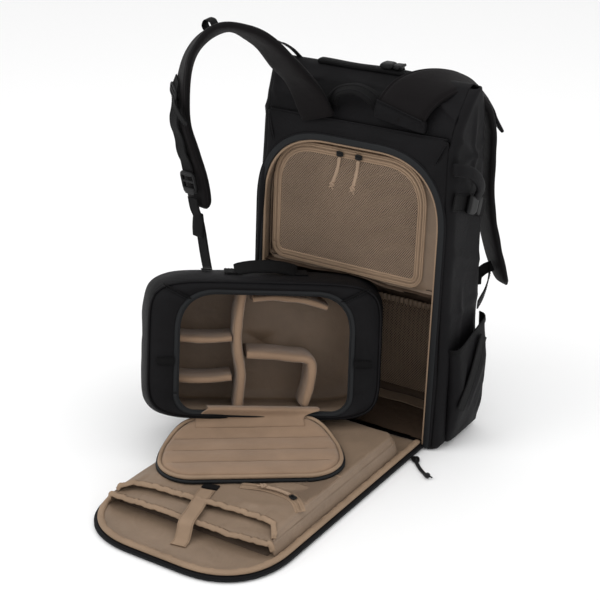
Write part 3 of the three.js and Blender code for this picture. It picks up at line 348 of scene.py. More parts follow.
def band(name, path, facing, width, thick, look, power=5.0, sides=20, relief=None, **more):
    """A profile carried along a path. facing is the way the band's outer face looks; width and
    thick may be arrays. relief(along, across) lifts the outer face."""
    path = np.asarray(path, float)
    along = unit(np.gradient(path, axis=0))
    facing = np.broadcast_to(np.asarray(facing, float), path.shape)
    outward = unit(facing - along * np.sum(facing * along, 1, keepdims=True))
    across = np.cross(outward, along)
    profile = ring_profile(sides, power)
    a = profile[None, :, 0] * np.broadcast_to(width, len(path))[:, None] / 2
    o = profile[None, :, 1] * np.broadcast_to(thick, len(path))[:, None] / 2
    if relief is not None:
        o = o + relief(lengths(path)[:, None], profile[None, :, 0]) * (profile[None, :, 1] > 0)
    grid = path[:, None] + across[:, None] * a[..., None] + outward[:, None] * o[..., None]
    away = (grid - path[:, None])[:-1].reshape(-1, 3)
    return surface(name, grid, look, out=away, wrap=True, caps=True, **more)


def tube(name, path, radius, look, sides=10, closed=False, **more):
    """A round cord or piping along a path; a closed path joins on itself."""
    path = np.asarray(path, float)
    if closed:
        path = np.vstack([path, path[:1]])
    along = unit(np.gradient(path, axis=0))
    if closed:
        along[0] = along[-1] = unit(path[1] - path[-2])
    helper = np.array([0.3, 0.5, 0.81]) if abs(along[:, 2]).mean() < 0.8 else np.array([1.0, 0.2, 0.1])
    across = unit(np.cross(along, helper))
    outward = np.cross(along, across)
    turn = np.linspace(0, 2 * np.pi, sides, endpoint=False)
    r = np.broadcast_to(radius, len(path))[:, None, None]
    offset = r * (across[:, None] * np.cos(turn)[:, None] + outward[:, None] * np.sin(turn)[:, None])
    grid = path[:, None] + offset
    return surface(name, grid, look, out=offset[:-1].reshape(-1, 3), wrap=True, caps=not closed, **more)


# %% [markdown]
# ## Folds and stitches
# A fold is a soft ridge along a line in the cloth: high at the line, and falling off on both sides
# as a bell curve. Stitches are short thread ends in a row, many of them in one mesh.

# %% Folds and stitches
def bump_lines(x, y, rows):
    """Sum of ridges. Each row: x and y of both ends, half width and height; a ridge is a bell
    curve across its line, and fades at its two ends."""
    total = np.zeros(np.broadcast(x, y).shape)
    for x0, y0, x1, y1, half, high in rows:
        dx, dy = x1 - x0, y1 - y0
        size = math.hypot(dx, dy)
        t = ((x - x0) * dx + (y - y0) * dy) / size ** 2
        off = ((x - x0) * dy - (y - y0) * dx) / size
        fade = np.clip(t * (1 - t) * 4, 0, 1) ** 0.5
        total += high * fade * np.exp(-(off / half) ** 2) * ((t > 0) & (t < 1))
    return total


def ripple(x, y, seed, size, high):
    """Uneven cloth: a few waves of random direction and phase, added up."""
    draw = np.random.default_rng(seed)
    total = np.zeros(np.broadcast(x, y).shape)
    for _ in range(7):
        turn, phase = draw.uniform(0, 2 * np.pi, 2)
        pitch = size * draw.uniform(0.6, 1.7)
        total += np.sin(2 * np.pi * (x * math.cos(turn) + y * math.sin(turn)) / pitch + phase)
    return high * total / 4


STITCH_SHARE = 0.62       # length of a stitch as a share of the pitch
STITCH_LIFT = 0.0002
CUBE = np.array([[x, y, z] for z in (-1, 1) for y in (-1, 1) for x in (-1, 1)]) * 0.5
CUBE_FACES = np.array([[0, 2, 3, 1], [4, 5, 7, 6], [0, 1, 5, 4], [2, 6, 7, 3], [0, 4, 6, 2], [1, 3, 7, 5]])


def scatter(name, centres, axes, sizes, look):
    """The same small block at many places. axes is (n, 3, 3) with a row for each of the block's
    directions, sizes is (n, 3)."""
    corners = CUBE[None] * np.broadcast_to(sizes, (len(centres), 3))[:, None]
    points = centres[:, None] + np.einsum("nci,nik->nck", corners, axes)
    faces = (np.arange(len(centres))[:, None, None] * 8 + CUBE_FACES).reshape(-1, 4)
    spun = np.linalg.det(axes).mean() < 0
    uvs = np.tile([[0, 0], [0, 0.001], [0.001, 0.001], [0.001, 0]], (len(faces), 1))
    return mesh_object(name, points.reshape(-1, 3), [faces[:, ::-1] if spun else faces], look, uvs)


def stitch_places(path, facing, pitch, lift):
    """Centres and axes of stitches spaced evenly along a path that lies on cloth."""
    path = np.asarray(path)
    size = lengths(path)
    count = max(2, int(size[-1] / pitch))
    at = (np.arange(count) + 0.5) * size[-1] / count
    spots = np.stack([np.interp(at, size, path[:, k]) for k in range(3)], 1)
    ahead = np.stack([np.interp(at + pitch / 4, size, path[:, k]) for k in range(3)], 1)
    facing = np.broadcast_to(np.asarray(facing, float), path.shape)
    up = unit(np.stack([np.interp(at, size, facing[:, k]) for k in range(3)], 1))
    along = unit(ahead - spots)
    across = unit(np.cross(up, along))
    return spots + up * lift, np.stack([along, across, np.cross(along, across)], 1)


def on_lines(lines, pitch, lift):
    """The stitch places of several lines together, each line a (path, facing)."""
    parts = [stitch_places(path, facing, pitch, lift) for path, facing in lines]
    return [np.concatenate([part[k] for part in parts]) for k in (0, 1)]


def stitches(name, lines, look, pitch=0.0032, thread=0.0006):
    """Rows of thread. lines is a list of (path, facing)."""
    centres, axes = on_lines(lines, pitch, STITCH_LIFT)
    return scatter(name, centres, axes, (STITCH_SHARE * pitch, thread, thread), look)


def teeth(name, lines, look, pitch=0.0022, size=(0.0012, 0.0032, 0.0013)):
    """Zip teeth across the middle of each line."""
    centres, axes = on_lines(lines, pitch, 0.0)
    return scatter(name, centres, axes, size, look)


# %% [markdown]
# ## The bag's body
# The body is a cloth tube with a flat back and a roll-top. Its sections are level rounded
# rectangles. The table gives each section's height and its four sides as shares of the bag's
# height, half width and depth, and straight lines join the rows.

# %% Sections of the bag
HEIGHT = 0.524
HALF = 0.165
DEPTH = 0.150
BAG_SIZE = [HALF, DEPTH, HEIGHT]
CORNER = 0.036            # largest rounding of the rear corners
SEAM_CORNER = 0.012       # rounding of the corners at the back panel
LEAN = math.radians(3.67)
BACK_FACE = -DEPTH / 2
SECTIONS = np.array([   # height, left, right, set back of the front, rear, corner
    [0.000, -0.95, 0.99, 0.015, 0.33, 0.80],
    [0.020, -0.99, 1.03, 0.000, 0.36, 1.00],
    [0.200, -1.00, 1.04, 0.000, 0.37, 1.00],
    [0.425, -0.99, 1.02, 0.000, 0.39, 1.00],
    [0.650, -0.95, 1.00, 0.000, 0.43, 1.00],
    [0.850, -0.93, 0.99, 0.000, 0.43, 0.95],
    [0.915, -0.94, 1.01, 0.050, 0.34, 0.80],
    [0.970, -0.96, 1.03, 0.155, 0.19, 0.45],
    [1.000, -0.96, 1.03, 0.245, 0.11, 0.25]])


def section(z):
    """Left, right, near and far side and far corner's rounding at heights z, in metres."""
    share = np.clip(np.asarray(z, float) / HEIGHT, 0, 1)
    left, right, back, rear, corner = (np.interp(share, SECTIONS[:, 0], SECTIONS[:, k]) for k in range(1, 6))
    front = BACK_FACE + share * HEIGHT * math.tan(LEAN) + back * DEPTH
    return left * HALF, right * HALF, front, rear * DEPTH, np.maximum(corner * CORNER, 0.004)


def on_back(x, depth, rise):
    """A point given across, into the bag and up its leaning back face."""
    c, s = math.cos(LEAN), math.sin(LEAN)
    x, depth, rise = np.broadcast_arrays(x, depth, rise)
    return np.stack([x, BACK_FACE + depth * c + rise * s, rise * c - depth * s], -1)


BACK_OUT = np.array([0.0, -math.cos(LEAN), math.sin(LEAN)])
ARCH_POWER = 2.4          # a little squarer than a circle


def arch(half, bottom, top, corner, shift=0.0, foot=0.0, count=160):
    """The opening's outline in the back face: from the bottom left up, over and down to the bottom
    right. The top corners are superellipses; with a foot it is closed with round lower corners."""
    turn = np.linspace(0, np.pi / 2, 24)
    cx, cz = np.cos(turn) ** (2 / ARCH_POWER), np.sin(turn) ** (2 / ARCH_POWER)
    right = np.stack([half - corner + corner * cx, top - corner + corner * cz], 1)
    left = right[::-1] * [-1, 1]
    over = np.vstack([[[-half, bottom + foot]], left[::-1], right[::-1], [[half, bottom + foot]]])
    if foot > 0:
        low = np.stack([half - foot + foot * np.cos(turn), bottom + foot - foot * np.sin(turn)], 1)
        over = np.vstack([over, low, low[::-1] * [-1, 1]])
    over = over + [shift, 0]
    return resample(over, count, closed=foot > 0)


OPENING = dict(half=0.145, bottom=0.004, top=0.428, corner=0.107)


def opening(grow=0.0, count=180):
    """The bag's opening, made larger by grow all round."""
    half, top, corner = (OPENING[key] + grow for key in ("half", "top", "corner"))
    return arch(half, OPENING["bottom"], top, corner, count=count)


print("the opening is", round(2 * OPENING["half"], 3), "by", OPENING["top"], "m")

# %% [markdown]
# ## Pull cords
# Four zip sliders have a doubled cord that ends in a knot. A doubled cord is one flat mesh whose
# section is two round strands side by side, and the knot is a trefoil: a circle that winds twice
# about its middle while it rises and falls three times.

# %% Cords and knots
CORD_WIDTH, CORD_THICK = 0.0054, 0.003
PULL = 0.038              # length of the compartment's cords
KNOT_SIZE = 0.00155       # the trefoil's unit


def cord_section(sides=20):
    """Two strands side by side: an oval with a groove along its middle."""
    t = np.linspace(0, 2 * np.pi, sides, endpoint=False)
    waist = 0.5 + 0.62 * np.abs(np.cos(t))
    return np.stack([CORD_WIDTH / 2 * np.cos(t), 0.72 * CORD_THICK * np.sin(t) * waist], 1)


def knot_path(centre, across, up, count=90):
    t = np.linspace(0, 2 * np.pi, count, endpoint=False)
    a = (2 + 0.72 * np.cos(3 * t)) * np.cos(2 * t) * 0.62
    b = (2 + 0.72 * np.cos(3 * t)) * np.sin(2 * t) * 0.78
    c = 0.72 * np.sin(3 * t)
    depth = np.cross(across, up)
    return centre + KNOT_SIZE * (a[:, None] * across + b[:, None] * up + c[:, None] * depth)


def pull_cord(name, points, knot_at, flat_side, look):
    """A doubled cord through a few points, its flat side facing one way, and the knot on its end."""
    path = smooth(points, 40)
    along = unit(np.gradient(path, axis=0))
    across = unit(np.cross(np.broadcast_to(flat_side, path.shape), along))
    outward = np.cross(along, across)
    profile = cord_section()
    wobble = 1 + 0.05 * np.sin(np.linspace(0, 14, len(path)))
    grid = (path[:, None] + across[:, None] * (profile[None, :, :1] * wobble[:, None, None])
            + outward[:, None] * profile[None, :, 1:])
    side = (grid - path[:, None])[:-1].reshape(-1, 3)
    piece = surface(name + "_braid", grid, look, out=side, wrap=True, caps=True, replaces=[name])
    knot = name.replace("cord", "knot")
    middle = np.asarray(knot_at)
    ends = [tube(knot + "_tied", knot_path(middle, across[-1], along[-1]), 0.0019, look, closed=True,
                 replaces=[knot])]
    for order, lean in enumerate((-0.5, 0.45)):
        away = along[-1] + lean * across[-1]
        reach = np.array([0.002, 0.0045, 0.0068 + 0.0012 * order])[:, None]
        ends.append(tube(f"{knot}_tail{order}", smooth(middle + reach * away, 10), 0.0010, look, sides=8))
    return piece


MESH = dict(half=0.126, bottom=0.238, top=0.418, corner=0.070, shift=-0.008, foot=0.020)
BAND = 0.013              # width of the compartment's zip
SLIDER_DEPTH = 0.0076
CORD_TOP = MESH["top"] - BAND / 2 - 0.0046
for side, share, swing in (("left", -0.183, -0.24), ("right", 0.063, -0.16)):
    x = share * MESH["half"]
    rows = [(x, CORD_TOP), (x + 0.3 * swing * PULL, CORD_TOP - PULL / 2), (x + swing * PULL, CORD_TOP - PULL)]
    route = [on_back(a, SLIDER_DEPTH, b) for a, b in rows]
    knot_at = on_back(x + 1.15 * swing * PULL, SLIDER_DEPTH, CORD_TOP - PULL - 0.004)
    pull_cord("compartment_cord_" + side, route, knot_at, BACK_OUT, "cord")

SLEEVE_SLIDER = np.array([0.096, -0.345, 0.0397])
pull_cord("sleeve_zip_cord", SLEEVE_SLIDER + [(-0.0064, 0.0016, 0), (-0.024, 0.003, 0), (-0.042, 0.001, 0)],
          SLEEVE_SLIDER + (-0.0470, 0.0004, 0.0004), (0, 0, 1), "cord")
DOOR_SLIDER = np.array([0.154, -0.113, 0.0018])
pull_cord("door_zip_cord", DOOR_SLIDER + [(0.0054, -0.0069, 0), (0.019, -0.020, 0), (0.033, -0.030, 0)],
          DOOR_SLIDER + (0.0366, -0.0324, 0.0022), (0, 0, 1), "black_cord")
print("cords made")

# %% [markdown]
# ## Panels of the body
# The real bag is sewn from panels, and so is this one: the frame round the opening, the yoke above
# it, and one gusset that wraps the sides and the front. Each is a grid of its own, with the folds
# that its cut gives it. Where two panels meet, a seam sinks the cloth a little.

# %% Back frame
TAPE = 0.010              # width of the zip tape round the opening
YOKE_SEAM = 0.462


def frame_outline(inner):
    """For each point of the opening, where its thread line meets the panel's edge: level below the
    arch's corners, and fanned out from the arch's centre above them."""
    centre = OPENING["top"] - OPENING["corner"]
    x, z = inner[:, 0], inner[:, 1]
    left, right = section(z)[:2]
    side = np.where(x > 0, right - SEAM_CORNER, left + SEAM_CORNER)
    rise = np.maximum(z - centre, 0)
    sideways = np.abs(side / np.where(x == 0, 1e-6, x))
    reach = np.minimum(sideways, (YOKE_SEAM - centre) / np.maximum(rise, 1e-6))
    return np.stack([x * reach, np.where(z > centre, centre + rise * reach, z)], 1)


def make_back_frame():
    inner = opening(TAPE - 0.002)
    outer = frame_outline(inner)
    v = np.linspace(0, 1, 26)[:, None]
    x = lerp(inner[:, 0], outer[:, 0], v)
    z = lerp(inner[:, 1], outer[:, 1], v)
    swell = 0.0028 * np.sin(np.pi * v) ** 0.6 * np.ones_like(x)
    folds = bump_lines(x, z, [
        (0.118, 0.418, 0.158, 0.452, 0.0022, -0.0022), (-0.118, 0.418, -0.148, 0.452, 0.0022, -0.0022),
        (0.128, 0.405, 0.150, 0.448, 0.0060, 0.0016), (0.161, 0.395, 0.160, 0.120, 0.0035, 0.0022),
        (0.156, 0.330, 0.158, 0.060, 0.0030, -0.0012), (0.090, 0.446, 0.020, 0.452, 0.0040, 0.0012),
        (-0.060, 0.448, 0.010, 0.450, 0.0040, 0.0014)])
    depth = -swell - folds - ripple(x, z, 3, 0.09, 0.0006)
    surface("back_frame", on_back(x, depth, z), "nylon", out=BACK_OUT, wall=0.0022, replaces=["body_shell"])


make_back_frame()


# %% Yoke
def make_yoke():
    """The slope from the double seam to the ridge, and on over the ridge. Its wrinkles run mostly
    across, where the roll-top has been folded."""
    rise = np.concatenate([np.linspace(YOKE_SEAM - 0.006, HEIGHT, 40), np.full(7, HEIGHT)])
    over = np.concatenate([np.zeros(40), np.linspace(0, 1, 8)[1:]])
    u = np.linspace(0, 1, 130)
    left, right, front, rear = section(rise)[:4]
    x = lerp((left + SEAM_CORNER)[:, None], (right - SEAM_CORNER)[:, None], u)
    y = lerp(front, rear, over)[:, None] + 0 * x
    z = rise[:, None] + 0.004 * np.sin(np.pi * over)[:, None] + 0 * x
    folds = bump_lines(x, z, [
        (-0.150, 0.486, -0.020, 0.478, 0.0055, 0.0040), (0.000, 0.498, 0.120, 0.505, 0.0050, 0.0035),
        (0.060, 0.474, 0.160, 0.468, 0.0055, 0.0032), (-0.150, 0.505, -0.060, 0.512, 0.0045, 0.0030),
        (0.100, 0.520, 0.165, 0.480, 0.0050, 0.0045), (-0.150, 0.515, -0.130, 0.470, 0.0045, 0.0025),
        (-0.040, 0.515, 0.060, 0.510, 0.0040, 0.0024)])
    free = np.sin(np.pi * np.clip(rise - YOKE_SEAM, 0, 0.06) / 0.075)[:, None]
    y = y - (folds + ripple(x, z, 5, 0.06, 0.0010)) * free
    y = y + 0.0016 * np.clip((YOKE_SEAM - rise) / 0.003, 0, 1)[:, None]
    grid = np.stack([x, y, z], -1)
    surface("yoke", grid, "nylon", out=(0, -1, 0.4), wall=0.002)


make_yoke()


def make_seams():
    """The double seam under the yoke, and a seam from each top corner of the opening out to it."""
    x = np.linspace(-0.138, 0.149, 90)
    seam = on_back(x, -0.0004, YOKE_SEAM)
    tube("yoke_seam", seam, 0.0012, "nylon")
    rows = [on_back(x, -0.0010, YOKE_SEAM - 0.0030), on_back(x, -0.0012, YOKE_SEAM + 0.0032)]
    t = np.linspace(0, 1, 24)
    ends = {"left": ((-0.127, 0.410), (-0.138, 0.456)), "right": ((0.127, 0.410), (0.149, 0.456))}
    for name, (inner, outer) in ends.items():
        a, b = lerp(inner[0], outer[0], t), lerp(inner[1], outer[1], t)
        tube("corner_seam_" + name, on_back(a, -0.0012 - 0.0022 * np.sin(np.pi * t), b), 0.0010, "nylon")
        rows.append(on_back(a + 0.0026 * np.sign(inner[0]), -0.0014 - 0.0024 * np.sin(np.pi * t), b - 0.0016))
    stitches("panel_thread", [(row, BACK_OUT) for row in rows], "webbing", pitch=0.0036)


make_seams()


# %% Gusset round the sides and the front
def gusset_ring(z, inset=0.0):
    """Level outline from the left seam round the front of the bag to the right seam."""
    left, right, front, rear, corner = (float(v) for v in section(z))
    left, right, rear = left + inset, right - inset, rear - inset
    seam, corner = SEAM_CORNER, max(corner - inset, 0.003)
    n_seam, n_side, n_corner, n_rear = 8, 30, 10, 44

    def arc(cx, cy, r, start, end, n):
        t = np.linspace(start, end, n)
        return np.stack([cx + r * np.cos(t), cy + r * np.sin(t)], 1)

    q = np.pi / 2
    parts = [arc(left + seam, front + seam, seam, -q, -2 * q, n_seam),
             np.linspace([left, front + seam], [left, rear - corner], n_side)[1:-1],
             arc(left + corner, rear - corner, corner, 2 * q, q, n_corner),
             np.linspace([left + corner, rear], [right - corner, rear], n_rear)[1:-1],
             arc(right - corner, rear - corner, corner, q, 0, n_corner),
             np.linspace([right, rear - corner], [right, front + seam], n_side)[1:-1],
             arc(right - seam, front + seam, seam, 0, -q, n_seam)]
    flat = np.vstack(parts)
    return np.column_stack([flat, np.full(len(flat), z)])


def make_gusset():
    heights = np.concatenate([[0.0, 0.003], np.linspace(0.010, HEIGHT, 96)])
    grid = np.stack([gusset_ring(z) for z in heights])
    grid[0, :, :2] = grid[1, :, :2] * 0.985
    x, y, z = grid[..., 0], grid[..., 1], grid[..., 2]
    side = np.clip((np.abs(x - 0.005) - 0.145) / 0.012, 0, 1)
    folds = bump_lines(y, z, [
        (-0.050, 0.470, 0.040, 0.400, 0.0060, 0.0040), (-0.040, 0.420, 0.050, 0.440, 0.0050, 0.0030),
        (-0.055, 0.300, 0.050, 0.260, 0.0070, 0.0030), (-0.020, 0.240, -0.030, 0.140, 0.0060, 0.0025),
        (0.000, 0.500, 0.010, 0.380, 0.0050, 0.0030), (-0.060, 0.200, 0.040, 0.210, 0.0060, 0.0025)])
    push = side * np.sign(x) * (folds + ripple(y, z, 8, 0.08, 0.0012))
    rear = np.clip((y - 0.045) / 0.02, 0, 1) * (1 - side)
    grid[..., 0] += push
    grid[..., 1] += rear * ripple(x, z, 9, 0.10, 0.0018)
    surface("gusset", grid, "nylon", away=(0, 0, 0.25), wall=0.0025)


make_gusset()


def make_base():
    """The bottom: rings of the lowest outline, drawn in towards its middle."""
    ring = gusset_ring(0.003)[:, :2]
    ring = np.vstack([ring, np.linspace(ring[-1], ring[0], 40)[1:-1]])
    middle = ring.mean(0)
    share = np.linspace(0.985, 0.001, 8)[:, None, None]
    flat = middle + (ring - middle) * share
    grid = np.concatenate([flat, np.full(flat.shape[:2] + (1,), 0.0006)], 2)
    surface("base_panel", grid, "nylon", out=(0, 0, -1), wrap=True, wall=0.0018)


make_base()
print("body panels made")


# %% Zip tape, binding and reveal of the opening
def along_opening(grow, depth):
    """The opening's outline as points of the back face at some depth."""
    line = opening(grow, 260)
    return on_back(line[:, 0], depth, line[:, 1])


band("opening_tape", along_opening(TAPE / 2 + 0.0005, -0.0016), BACK_OUT, TAPE, 0.0040, "zip", power=2.6,
     replaces=["opening_zip_tape"])
tube("opening_piping", along_opening(TAPE + 0.0012, -0.0012), 0.0016, "nylon")
tube("opening_binding", along_opening(-0.0008, 0.0008), 0.0021, "binding")


def make_reveal():
    """The tan wall between the opening's edge and the compartment's face."""
    depth = np.linspace(0.0, 0.018, 6)
    line = opening(-0.0005, 200)
    x, z = line[:, 0], line[:, 1]
    spread = 0.002 * (depth / 0.018)[:, None]
    grid = on_back(x * (1 + spread * 4), depth[:, None] + 0.0006 * np.sin(z * 160), z + 0 * depth[:, None])
    inwards = np.array([0, grid[..., 1].mean(), 0.25]) - grid[:-1, :-1]
    surface("reveal", grid, "lining", out=inwards.reshape(-1, 3), wall=0.001)


make_reveal()
print("opening edge made")


# %% The pod's own frame
POD_PLACE = np.array([-0.042, -0.214, 0.0555])
POD_TURNS = (math.radians(39.24), math.radians(-16.41), math.radians(3.76))   # about Z, X, then Y
POD_HALF, POD_HEIGHT, POD_DEPTH = 0.167, 0.199, 0.114
POD_BULGE = 0.008         # how far the gusset swells out between its seams
POD_SQUARE = 6.2          # power of the superellipse
POD_TOP = POD_HEIGHT + POD_BULGE
POD_WINDOW = dict(half=0.124, bottom=0.010, top=0.182, corner=0.058, foot=0.026)


def turn_matrix(about_z, about_x, about_y):
    """The rotation about Y, then X, then Z, as one matrix."""
    cz, sz, cx, sx = math.cos(about_z), math.sin(about_z), math.cos(about_x), math.sin(about_x)
    cy, sy = math.cos(about_y), math.sin(about_y)
    z = np.array([[cz, -sz, 0], [sz, cz, 0], [0, 0, 1]])
    x = np.array([[1, 0, 0], [0, cx, -sx], [0, sx, cx]])
    y = np.array([[cy, 0, sy], [0, 1, 0], [-sy, 0, cy]])
    return z @ x @ y


POD_MATRIX = turn_matrix(*POD_TURNS)


def in_pod(x, depth, rise):
    """A point given across the pod, into it and up it."""
    x, depth, rise = np.broadcast_arrays(x, depth, rise)
    return POD_PLACE + np.stack([x, depth, rise], -1) @ POD_MATRIX.T


def pod_way(vector):
    return np.asarray(vector, float) @ POD_MATRIX.T


# %% [markdown]
# ## The compartment and the space below it
# Behind the opening are two boxes of lining, one above the other, in tan with painted shade. Each is
# a tray: an open ring of wall, with a floor and a ceiling that are the same ring drawn in to the
# middle of its front. The upper one has a net in front, in a tan frame with a zip.

# %% Trays of lining
INSET = 0.0078            # from the bag's outline to the lining


def above_pod(points, clear=0.003):
    """Lifts points that lie inside the pod, or just above it, clear of its top."""
    local = (points - POD_PLACE) @ POD_MATRIX
    across = np.clip(np.abs(local[..., 0]) / (POD_HALF + POD_BULGE), 0, 1)
    top = POD_HEIGHT / 2 + (POD_HEIGHT / 2 + POD_BULGE) * (1 - across ** POD_SQUARE) ** (1 / POD_SQUARE)
    fade = np.clip(local[..., 1] / 0.012 + 1, 0, 1) * np.clip((POD_DEPTH - local[..., 1]) / 0.012 + 1, 0, 1)
    high = top + clear - local[..., 2]
    lift = np.where((high > 0) & (high < 0.05), high / POD_MATRIX[2, 2] * fade, 0)
    points = points.copy()
    points[..., 2] += lift
    return points


def tray(name, low, high, front, look, seed, **more):
    """Rows from the floor's middle out to the wall, up it, and in along the ceiling."""
    heights = [low] * 6 + list(np.linspace(low, high, 24)) + [high] * 6
    shares = list(np.linspace(0.001, 0.98, 6)) + [1.0] * 24 + list(np.linspace(0.98, 0.001, 6))
    rows = []
    for z, share in zip(heights, shares):
        ring = gusset_ring(z, INSET)
        depth = float(section(z)[2]) + front
        ring[:, 1] = np.maximum(ring[:, 1], depth)
        middle = np.array([0.0, depth, z])
        rows.append(middle + (ring - middle) * share)
    grid = above_pod(np.stack(rows))
    size = lengths(grid[15])[None, :]
    push = ripple(size, grid[..., 2], seed, 0.09, 0.0011) * (np.array(shares)[:, None] == 1)
    middle = np.array([0.0, 0.0, (low + high) / 2])
    grid = grid + unit(middle - grid) * (push + 0.0011)[..., None] * (np.array(shares)[:, None, None] == 1)
    return surface(name, grid, look, out=(middle - grid)[:-1, :-1].reshape(-1, 3), wall=0.001, **more)


# Both trays take the lining darkened with painted shade, for the shadow inside the bag
tray("lower_space", 0.0088, 0.228, 0.0085, "shaded_lining", 81, replaces=["body_lining"])
tray("compartment_inside", 0.2345, 0.445, 0.018, "shaded_lining", 83, replaces=["upper_compartment"])


# %% Front of the compartment
def mesh_outline(inset, count=240):
    m = MESH
    return arch(m["half"] - inset, m["bottom"] + inset, m["top"] - inset, m["corner"] - inset, m["shift"],
                m["foot"] - min(inset, 0.012), count)


def face_line(inset, depth, count=240):
    line = mesh_outline(inset, count)
    return above_pod(on_back(line[:, 0], depth, line[:, 1]), 0.006)


def make_compartment_face():
    """Tan cloth from the opening's edge in to the zip, with a groove that falls in shade."""
    outer = arch(0.1440, 0.2300, 0.4270, 0.105, foot=0.012, count=240)
    inner = mesh_outline(0.001)
    v = np.linspace(0, 1, 14)[:, None]
    x, z = lerp(outer[:, 0], inner[:, 0], v), lerp(outer[:, 1], inner[:, 1], v)
    swell = np.sin(np.pi * v)
    depth = 0.0165 - 0.004 * v + 0.0035 * swell + ripple(x, z, 85, 0.05, 0.0008) * swell
    grid = above_pod(on_back(x, depth, z), 0.004)
    surface("compartment_face", grid, "lining", out=BACK_OUT, wrap=True, wall=0.0015)


def make_compartment_zip():
    """Two tapes with a coil between them, bound on both sides and sewn down."""
    for name, inset, nodes in (("outer", 0.0024, ["compartment_zip_band"]), ("inner", 0.0078, [])):
        band("compartment_tape_" + name, close(face_line(inset, 0.0112)), BACK_OUT, 0.0046, 0.0026, "binding",
             power=2.6, replaces=nodes)
    teeth("compartment_coil", [(face_line(0.0051, 0.0100, 900), BACK_OUT)], "binding", pitch=0.0016,
          size=(0.0009, 0.0026, 0.0010))
    tube("mesh_binding", face_line(0.0106, 0.0105), 0.0016, "binding", closed=True)
    tube("face_binding", face_line(-0.0004, 0.0112), 0.0015, "binding", closed=True)
    rows = [(face_line(inset, 0.0096, 600), BACK_OUT) for inset in (0.0010, 0.0094)]
    stitches("compartment_stitches", rows, "binding", pitch=0.003, thread=0.0005)


def close(line):
    return np.vstack([line, line[:1]])


# %% Net
def net(name, corners_of, lay, pitch, thread, inside):
    """A diamond net: threads between the points of two grids, one shifted by half a cell. `inside`
    says which points of the plane it covers, and `lay` puts them in space."""
    (x0, x1), (z0, z1) = corners_of
    px, pz = pitch
    i, j = np.meshgrid(np.arange(int((x1 - x0) / px) + 1), np.arange(int(2 * (z1 - z0) / pz) + 1))
    x, z = (x0 + (i + 0.5 * (j % 2)) * px).ravel(), (z0 + j * pz / 2).ravel()
    starts, ends = [], []
    for side in (-0.5, 0.5):
        mx, mz = x + side * px, z + pz / 2
        keep = inside(x, z) & inside(mx, mz)
        starts.append(np.stack([x[keep], z[keep]], 1))
        ends.append(np.stack([mx[keep], mz[keep]], 1))
    a, b = lay(np.concatenate(starts)), lay(np.concatenate(ends))
    along = b - a
    size = np.linalg.norm(along, axis=1, keepdims=True)
    along = along / size
    across = unit(np.cross(along, np.broadcast_to(BACK_OUT, along.shape)))
    outward = np.cross(along, across)
    turn = np.linspace(0, 2 * np.pi, 4)[:-1]
    ring = thread * (across[:, None] * np.cos(turn)[:, None] + outward[:, None] * np.sin(turn)[:, None])
    over = along[:, None] * thread
    points = np.concatenate([a[:, None] + ring - over, b[:, None] + ring + over], 1)
    base = 6 * np.arange(len(a))[:, None, None]
    sides = base + np.array([[0, 1, 4, 3], [1, 2, 5, 4], [2, 0, 3, 5]])
    ends_of = base + np.array([[0, 2, 1], [3, 4, 5]])
    faces = [sides.reshape(-1, 4), ends_of.reshape(-1, 3)]
    return mesh_object(name, points.reshape(-1, 3), faces, "mesh", np.zeros((18 * len(a), 2)))


def in_outline(line):
    """A test of whether points lie inside a closed outline, by counting its crossings."""
    a, b = line, np.roll(line, -1, axis=0)
    step = b - a
    rise = np.where(step[:, 1] == 0, 1e-9, step[:, 1])

    def test(x, z):
        high = z[:, None]
        cross = (a[:, 1] > high) != (b[:, 1] > high)
        at = a[:, 0] + (high - a[:, 1]) / rise * step[:, 0]
        return (cross & (x[:, None] < at)).sum(1) % 2 == 1

    return test


def lay_front_net(points):
    """The compartment's net bellies out a little in the middle."""
    x, z = points[:, 0], points[:, 1]
    belly = np.clip(1 - ((x + 0.008) / 0.113) ** 2, 0, 1) * np.clip(1 - ((z - 0.328) / 0.080) ** 2, 0, 1)
    depth = 0.0110 - 0.0045 * belly ** 0.5 + ripple(x, z, 87, 0.09, 0.0008) * belly
    return above_pod(on_back(x, depth, z), 0.006)


make_compartment_face()
make_compartment_zip()
front_net = net("front_net", ((-0.127, 0.113), (0.243, 0.412)), lay_front_net, (0.0031, 0.0040), 0.00042,
                in_outline(mesh_outline(0.0100)))
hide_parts("mesh_panel")
print("net threads:", len(front_net.data.polygons) // 5)


# %% Gathered pocket in the lower space
POCKET_HALF, POCKET_LOW, POCKET_HIGH = 0.118, 0.024, 0.166


def lay_pocket(points):
    """The pocket's cloth stands off the far wall, in gathers that fade towards its foot."""
    x, z = points[:, 0], points[:, 1]
    share = (z - POCKET_LOW) / (POCKET_HIGH - POCKET_LOW)
    full = np.interp(share, [0, 0.25, 0.6, 0.9, 1], [0.30, 0.85, 1.0, 0.75, 0.5])
    edge = np.clip((POCKET_HALF - np.abs(x)) / 0.012, 0, 1) ** 0.5
    gather = 0.0011 * np.sin(x / 0.0075 * 2 * np.pi + 9 * z) * share
    y = section(z)[3] - INSET - 0.0022 - edge * (0.0112 * full - 0.0012) - gather * edge
    return np.stack([x, y, z], 1)


